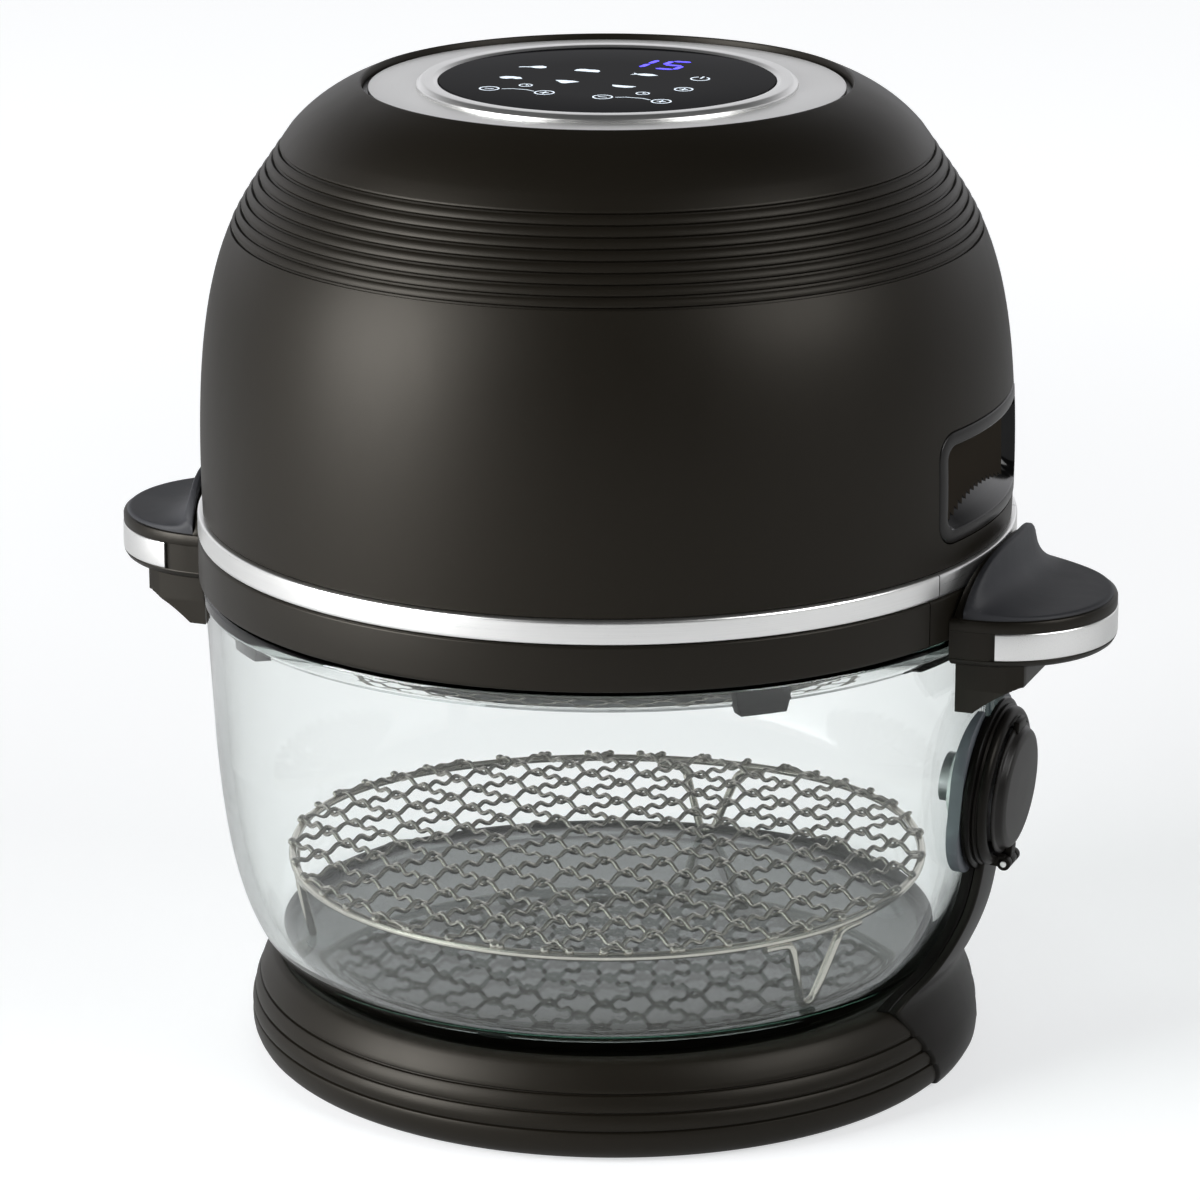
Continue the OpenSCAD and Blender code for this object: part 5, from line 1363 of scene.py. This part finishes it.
class OVEN_OT_handles(Operator):
    """Builds both side handles: the black body, the silver trim and the soft pad with its thumb guard."""

    bl_idname = "oven.handles"
    bl_label = "Handles"

    def body(self, side, word):
        top = TRIM_Z + 14.3
        levels = [(HANDLE_Z, 3.2), (HANDLE_Z + 0.35, 1.9), (HANDLE_Z + 1.1, 0.9), (HANDLE_Z + 2.2, 0.25),
                  (TRIM_Z - 0.35, 0.0), (TRIM_Z - 0.05, 0.1), (TRIM_Z, 0.9), (TRIM_Z + 2.4, 0.9),
                  (TRIM_Z + 2.45, 0.9), (TRIM_Z + 2.8, 0.9), (TRIM_Z + 2.85, 0.9), (TRIM_Z + 10, 0.9),
                  (TRIM_Z + 10.05, 0.1), (TRIM_Z + 10.3, 0.0), (TRIM_Z + 13.2, 0.0), (TRIM_Z + 14.0, 0.35),
                  (top, 1.2)]
        loops = []
        for z, inset in levels:
            edge = handle_outline(0, 120)
            shaped = []
            for k, (x, y) in enumerate(edge):
                depth = inset
                if TRIM_Z - 0.01 <= z <= TRIM_Z + 10.01:
                    seam = 0.5 if abs(z - TRIM_Z - 2.62) < 0.1 else 0.0
                    depth = inset if x > BAND_R + 9.5 else seam
                t = -math.pi / 2 + math.pi * k / 120
                shaped.append((BAND_R + (HANDLE_REACH - depth) * math.cos(t), (HANDLE_HALF - depth) * math.sin(t)))
            wall = []
            for k in range(1, 24):
                y = shaped[-1][1] + (shaped[0][1] - shaped[-1][1]) * k / 24
                wall.append((math.sqrt((BAND_R + 0.25) ** 2 - y * y), y))
            shaped[0] = (math.sqrt((BAND_R + 0.25) ** 2 - shaped[0][1] ** 2), shaped[0][1])
            shaped[-1] = (math.sqrt((BAND_R + 0.25) ** 2 - shaped[-1][1] ** 2), shaped[-1][1])
            loops.append([(side * x, y, z) for x, y in shaped + wall])
        bm = bmesh.new()
        bridge(bm, loops, closed=False)
        guard_top, guard_low = [], []
        for k in range(61):
            angle = math.radians(15.6) * (k / 30 - 1)
            row_top, row_low = [], []
            for reach, fall in ((BAND_R + 0.9, 1.4), (BAND_R + 1.3, 0.3), (BAND_R + 2.2, 0), (BAND_R + 3.6, 0),
                                (BAND_R + 4.3, 0.4)):
                y = reach * math.sin(angle)
                z = max(top - 0.4, top + guard_height(y) - 1.6 - fall)
                row_top.append((side * reach * math.cos(angle), y, z))
                row_low.append((side * reach * math.cos(angle), y, TRIM_Z + 8))
            guard_top.append(row_top)
            guard_low.append(row_low)
        slab(bm, guard_top, guard_low)
        piece("handle_form_" + word, bm, FINISH["skirt"], ["handle_body_" + word], angle=42)

    def bracket(self, side, word):
        curve = cubic((BAND_R + 2.2, HANDLE_Z - 18), (BAND_R + 8, HANDLE_Z - 13), (BAND_R + 14, HANDLE_Z - 9),
                      (BAND_R + 20, HANDLE_Z - 7.2), 14)
        curve += [Vector((BAND_R + 20.3, HANDLE_Z - 6.6)), Vector((BAND_R + 20.3, HANDLE_Z + 0.6))]
        loops = []
        for i, point in enumerate([curve[0]] + curve):
            half = 38 - (0.7 if i == 0 else 0)
            wall, outer = [], []
            for k in range(41):
                y = half * math.sin(math.pi / 2 * (k / 20 - 1))
                reach = math.sqrt((BAND_R + 0.6) ** 2 - y * y)
                edge = BAND_R + (HANDLE_REACH - 3.2) * math.sqrt(max(0, 1 - (y / (HANDLE_HALF - 1.2)) ** 2))
                wall.append((side * reach, y, point.y))
                outer.append((side * max(reach + 0.2, min(point.x - (0.7 if i == 0 else 0), edge)), y, point.y))
            loops.append(wall + outer[::-1])
        bm = bmesh.new()
        bridge(bm, loops, closed=False)
        piece("bracket_form_" + word, bm, FINISH["skirt"], ["handle_bracket_" + word], angle=40)

    def trim(self, side, word):
        outline = [p for p in handle_outline(-0.22, 160) if p[0] > BAND_R + 9.8]
        inner = [p for p in handle_outline(0.75, 160) if p[0] > BAND_R + 9.8]
        parts = min(len(outline), len(inner))
        outline = outline[(len(outline) - parts) // 2:][:parts]
        inner = inner[(len(inner) - parts) // 2:][:parts]
        bm = bmesh.new()
        heights = [(0.1, 0.3), (0.3, 0.08), (0.7, 0), (9.3, 0), (9.7, 0.08), (9.9, 0.3)]
        top, bottom = [], []
        for up, inset in heights:
            top.append([(side * (x - inset * (x - BAND_R) / HANDLE_REACH), y * (1 - inset / HANDLE_HALF), TRIM_Z + up)
                        for x, y in outline])
            bottom.append([(side * x, y, TRIM_Z + up) for x, y in inner])
        slab(bm, top, bottom)
        piece("trim_form_" + word, bm, FINISH["silver"], ["handle_trim_" + word], angle=40)

    def pad(self, side, word):
        flat = TRIM_Z + 15.6
        low_z = TRIM_Z + 13.6
        columns = 73
        rows_top, rows_low = [], []
        inner = BAND_R + 4.4
        for k in range(columns):
            share = (k / (columns - 1)) * 2 - 1
            angle = math.radians(15.3) * math.sin(math.pi / 2 * share)
            outer = inner
            a, b = HANDLE_REACH - 1.3, HANDLE_HALF - 1.3
            c, s = math.cos(angle), math.sin(angle)
            qa = (c / a) ** 2 + (s / b) ** 2
            qb = -2 * c * BAND_R / a ** 2
            qc = (BAND_R / a) ** 2 - 1
            disc = max(0.0, qb * qb - 4 * qa * qc)
            outer = max(inner + 0.4, (-qb + math.sqrt(disc)) / (2 * qa))
            row_top, row_low = [], []
            span = outer - inner
            places = [0, 0.1, 0.3, 0.6, 0.9, 2.2, 2.6, 2.9, 3.15, 3.4, 3.8, 4.4, 5.4, 6.6, 8, 10, 13, 17, 21, 25, 29, 33]
            tail = [3.0, 2.2, 1.5, 0.9, 0.45, 0.15, 0]
            distances = []
            for n, place in enumerate(places):
                distances.append(place / places[-1] * max(span - 3.2, 0.1) if span < 36 else place)
            for n in tail:
                distances.append(max(span - n * min(1, span / 6), 0))
            distances = sorted(distances)
            for d in distances:
                reach = inner + d
                y = reach * s
                rise = guard_height(y)
                z = flat + rise * guard_share(d)
                if d < 0.8:
                    z -= (0.8 - math.sqrt(max(0.8 ** 2 - (0.8 - d) ** 2, 0))) * min(1, rise / 3)
                from_edge = span - d
                if from_edge < 1.6:
                    z -= 1.6 - math.sqrt(max(1.6 ** 2 - (1.6 - from_edge) ** 2, 0))
                row_top.append((side * reach * c, y, max(z, low_z + 0.2)))
                row_low.append((side * reach * c, y, low_z))
            rows_top.append(row_top)
            rows_low.append(row_low)
        bm = bmesh.new()
        slab(bm, rows_top, rows_low)
        piece("pad_form_" + word, bm, FINISH["pad"], ["handle_pad_" + word], angle=60)

    def execute(self, context):
        for side, word in ((1, "right"), (-1, "left")):
            self.body(side, word)
            self.trim(side, word)
            self.pad(side, word)
            self.bracket(side, word)
        return {"FINISHED"}


# What lies inside

INNER = {
    "arm": ["base_plate", "battery_box", "top_carrier"],
    "rubber": ["base_feet", "bowl_pads", "port_gasket"],
    "seal": ["rim_seal"],
    "steel": ["base_screws", "arm_screws", "lid_screws", "spit_socket", "drive_coupling", "guard_grille",
              "ring_clips", "fan_shaft", "shaft_nut", "fan_motor", "drive_motor"],
    "alu": ["reflector_pan", "motor_deck", "fan_blade", "cooling_fan"],
    "quartz": ["heating_ring"],
    "board": ["power_board", "display_board"],
    "cell": ["battery_cells"],
    "bush": ["port_bush"],
    "brass": ["coupling_bush"],
}


class OVEN_OT_inner(Operator):
    """Gives the CAD nodes that stay in view their finishes."""

    bl_idname = "oven.inner"
    bl_label = "Inner Pieces"

    def execute(self, context):
        for finish, nodes in INNER.items():
            for name in nodes:
                node = frame["nodes"][name]
                node.data.materials.clear()
                node.data.materials.append(FINISH[finish])
        bare = [n for n, o in frame["nodes"].items()
                if not o.hide_render and n not in {x for nodes in INNER.values() for x in nodes}]
        if bare:
            raise RuntimeError("no finish for " + ", ".join(sorted(bare)))
        return {"FINISHED"}


# The stage


def area_light(name, power, size, place, target=(0, 0, 0.17), size_y=None):
    """A large soft light that points at the oven."""
    data = bpy.data.lights.new(name, "AREA")
    data.energy = power
    data.shape = "RECTANGLE"
    data.size = size
    data.size_y = size_y or size
    obj = bpy.data.objects.new(name, data)
    obj.location = place
    obj.rotation_euler = (Vector(target) - Vector(place)).to_track_quat("-Z", "Y").to_euler()
    obj.visible_transmission = False
    bpy.context.scene.collection.objects.link(obj)
    return obj


def straight_view(tree):
    """1 on a ray from the camera that has met nothing or only passed through glass."""
    path = add(tree, "ShaderNodeLightPath").outputs
    bounces = math_node(tree, "ADD", path["Glossy Depth"], path["Diffuse Depth"])
    return math_node(tree, "LESS_THAN", bounces, 0.5)


class OVEN_OT_stage(Operator):
    """Builds the pale floor, the soft lights, the white surroundings and the camera."""

    bl_idname = "oven.stage"
    bl_label = "Stage"

    def floor(self):
        bm = bmesh.new()
        bmesh.ops.create_grid(bm, x_segments=8, y_segments=8, size=9)
        mesh = bpy.data.meshes.new("floor")
        bm.to_mesh(mesh)
        bm.free()
        material, tree, shader, output = new_material("Pale Floor")
        place = add(tree, "ShaderNodeTexCoord").outputs["Object"]
        noise = add(tree, "ShaderNodeTexNoise", {"Vector": place, "Scale": 3.0}).outputs["Fac"]
        shade = add(tree, "ShaderNodeMix", {"Factor": noise, "A": (0.50, 0.505, 0.51, 1),
                                            "B": (0.52, 0.522, 0.53, 1)}, data_type="RGBA")
        tree.links.new(shade.outputs["Result"], shader.inputs["Base Color"])
        shader.inputs["Roughness"].default_value = 0.75
        shader.inputs["Specular IOR Level"].default_value = 0.2
        away = add(tree, "ShaderNodeVectorMath", {0: place}, operation="LENGTH").outputs["Value"]
        far = add(tree, "ShaderNodeMapRange", {"Value": away, "From Min": 0.3, "From Max": 1.6, "To Min": 0.34,
                                               "To Max": 0.56}, interpolation_type="SMOOTHSTEP").outputs[0]
        share = math_node(tree, "MULTIPLY_ADD", straight_view(tree), far, 0.24)
        lift = add(tree, "ShaderNodeEmission", {"Color": (0.98, 0.99, 1.0, 1), "Strength": share})
        lit = add(tree, "ShaderNodeAddShader", {0: shader.outputs[0], 1: lift.outputs[0]})
        tree.links.new(lit.outputs[0], output.inputs["Surface"])
        mesh.materials.append(material)
        obj = bpy.data.objects.new("floor", mesh)
        bpy.context.scene.collection.objects.link(obj)

    def world(self, azimuth):
        world = bpy.data.worlds.new("Studio")
        bpy.context.scene.world = world
        world.use_nodes = True
        tree = world.node_tree
        tree.nodes.clear()
        direction = add(tree, "ShaderNodeTexCoord").outputs["Generated"]
        up = add(tree, "ShaderNodeSeparateXYZ", {0: direction}).outputs["Z"]
        front = (math.sin(azimuth), -math.cos(azimuth), 0)
        facing = add(tree, "ShaderNodeVectorMath", {0: direction, 1: front}, operation="DOT_PRODUCT")
        height = add(tree, "ShaderNodeValToRGB", {"Fac": up})
        stops = height.color_ramp.elements
        stops[0].position, stops[0].color = 0.0, (0.95, 0.96, 1.0, 1)
        stops[1].position, stops[1].color = 1.0, (0.04, 0.04, 0.044, 1)
        for place, grey in ((0.2, 0.95), (0.36, 0.78), (0.52, 0.14), (0.7, 0.04)):
            stop = stops.new(place)
            stop.color = (grey, grey, grey * 1.03, 1)
        depth = add(tree, "ShaderNodeMapRange", {"Value": facing.outputs["Value"], "From Min": -0.8,
                                                 "From Max": 0.25, "To Min": 1.0, "To Max": 0.03},
                    interpolation_type="SMOOTHSTEP").outputs[0]
        shade = add(tree, "ShaderNodeVectorMath", {0: height.outputs["Color"], "Scale": depth},
                    operation="SCALE").outputs[0]
        studio = add(tree, "ShaderNodeBackground", {"Color": shade, "Strength": 1.0})
        through = math_node(tree, "MINIMUM", add(tree, "ShaderNodeLightPath").outputs["Transmission Depth"], 2.0)
        white = add(tree, "ShaderNodeBackground", {
            "Color": (0.97, 0.975, 0.99, 1), "Strength": math_node(tree, "MULTIPLY_ADD", through, 0.08, 1.0)})
        mixed = add(tree, "ShaderNodeMixShader", {0: straight_view(tree), 1: studio.outputs[0],
                                                  2: white.outputs[0]})
        add(tree, "ShaderNodeOutputWorld", {"Surface": mixed.outputs[0]})

    def execute(self, context):
        sizes = context.scene.oven_stage
        self.floor()
        self.world(sizes.azimuth)
        area_light("key", sizes.key, 1.5, (-1.65, -1.7, 0.85), size_y=1.6)
        area_light("side", sizes.side, 1.3, (2.0, -0.35, 1.3), size_y=1.0)
        data = bpy.data.cameras.new("camera")
        data.lens = sizes.lens
        data.sensor_width = 36
        data.shift_x = -0.0061
        data.clip_start = 0.05
        data.clip_end = 60
        camera = bpy.data.objects.new("camera", data)
        camera.location = sizes.camera_place
        camera.rotation_euler = (math.pi / 2 - sizes.pitch, 0, sizes.azimuth)
        context.scene.collection.objects.link(camera)
        context.scene.camera = camera
        context.scene.view_settings.view_transform = "Standard"
        return {"FINISHED"}


OPERATORS = (OVEN_OT_finishes, OVEN_OT_base, OVEN_OT_drive, OVEN_OT_bowl, OVEN_OT_rack, OVEN_OT_dome,
             OVEN_OT_vents, OVEN_OT_panel, OVEN_OT_handles, OVEN_OT_inner, OVEN_OT_stage)


class OVEN_PT_build(Panel):
    """Lists the sizes, the finishes and the building steps."""

    bl_idname = "OVEN_PT_build"
    bl_label = "Halogen Oven"
    bl_space_type = "VIEW_3D"
    bl_region_type = "UI"
    bl_category = "Oven"

    def draw(self, context):
        layout = self.layout
        for group in (context.scene.oven_dome, context.scene.oven_rack, context.scene.oven_finishes,
                      context.scene.oven_stage):
            box = layout.box()
            for name in group.__annotations__:
                box.prop(group, name)
        for operator in OPERATORS:
            layout.operator(operator.bl_idname)


GROUPS = {"oven_dome": OvenDomeSettings, "oven_rack": OvenRackSettings, "oven_finishes": OvenFinishSettings,
          "oven_stage": OvenStageSettings}


def register():
    for cls in (*GROUPS.values(), *OPERATORS, OVEN_PT_build):
        bpy.utils.register_class(cls)
    for name, group in GROUPS.items():
        setattr(bpy.types.Scene, name, PointerProperty(type=group))


def unregister():
    for name in GROUPS:
        delattr(bpy.types.Scene, name)
    for cls in (OVEN_PT_build, *reversed(OPERATORS), *GROUPS.values()):
        bpy.utils.unregister_class(cls)


def main():
    register()
    bpy.ops.oven.finishes()
    bpy.ops.oven.base()
    bpy.ops.oven.drive()
    bpy.ops.oven.bowl()
    bpy.ops.oven.rack()
    bpy.ops.oven.dome()
    bpy.ops.oven.vents()
    bpy.ops.oven.panel()
    bpy.ops.oven.handles()
    bpy.ops.oven.inner()
    bpy.ops.oven.stage()


if __name__ == "__main__":
    main()
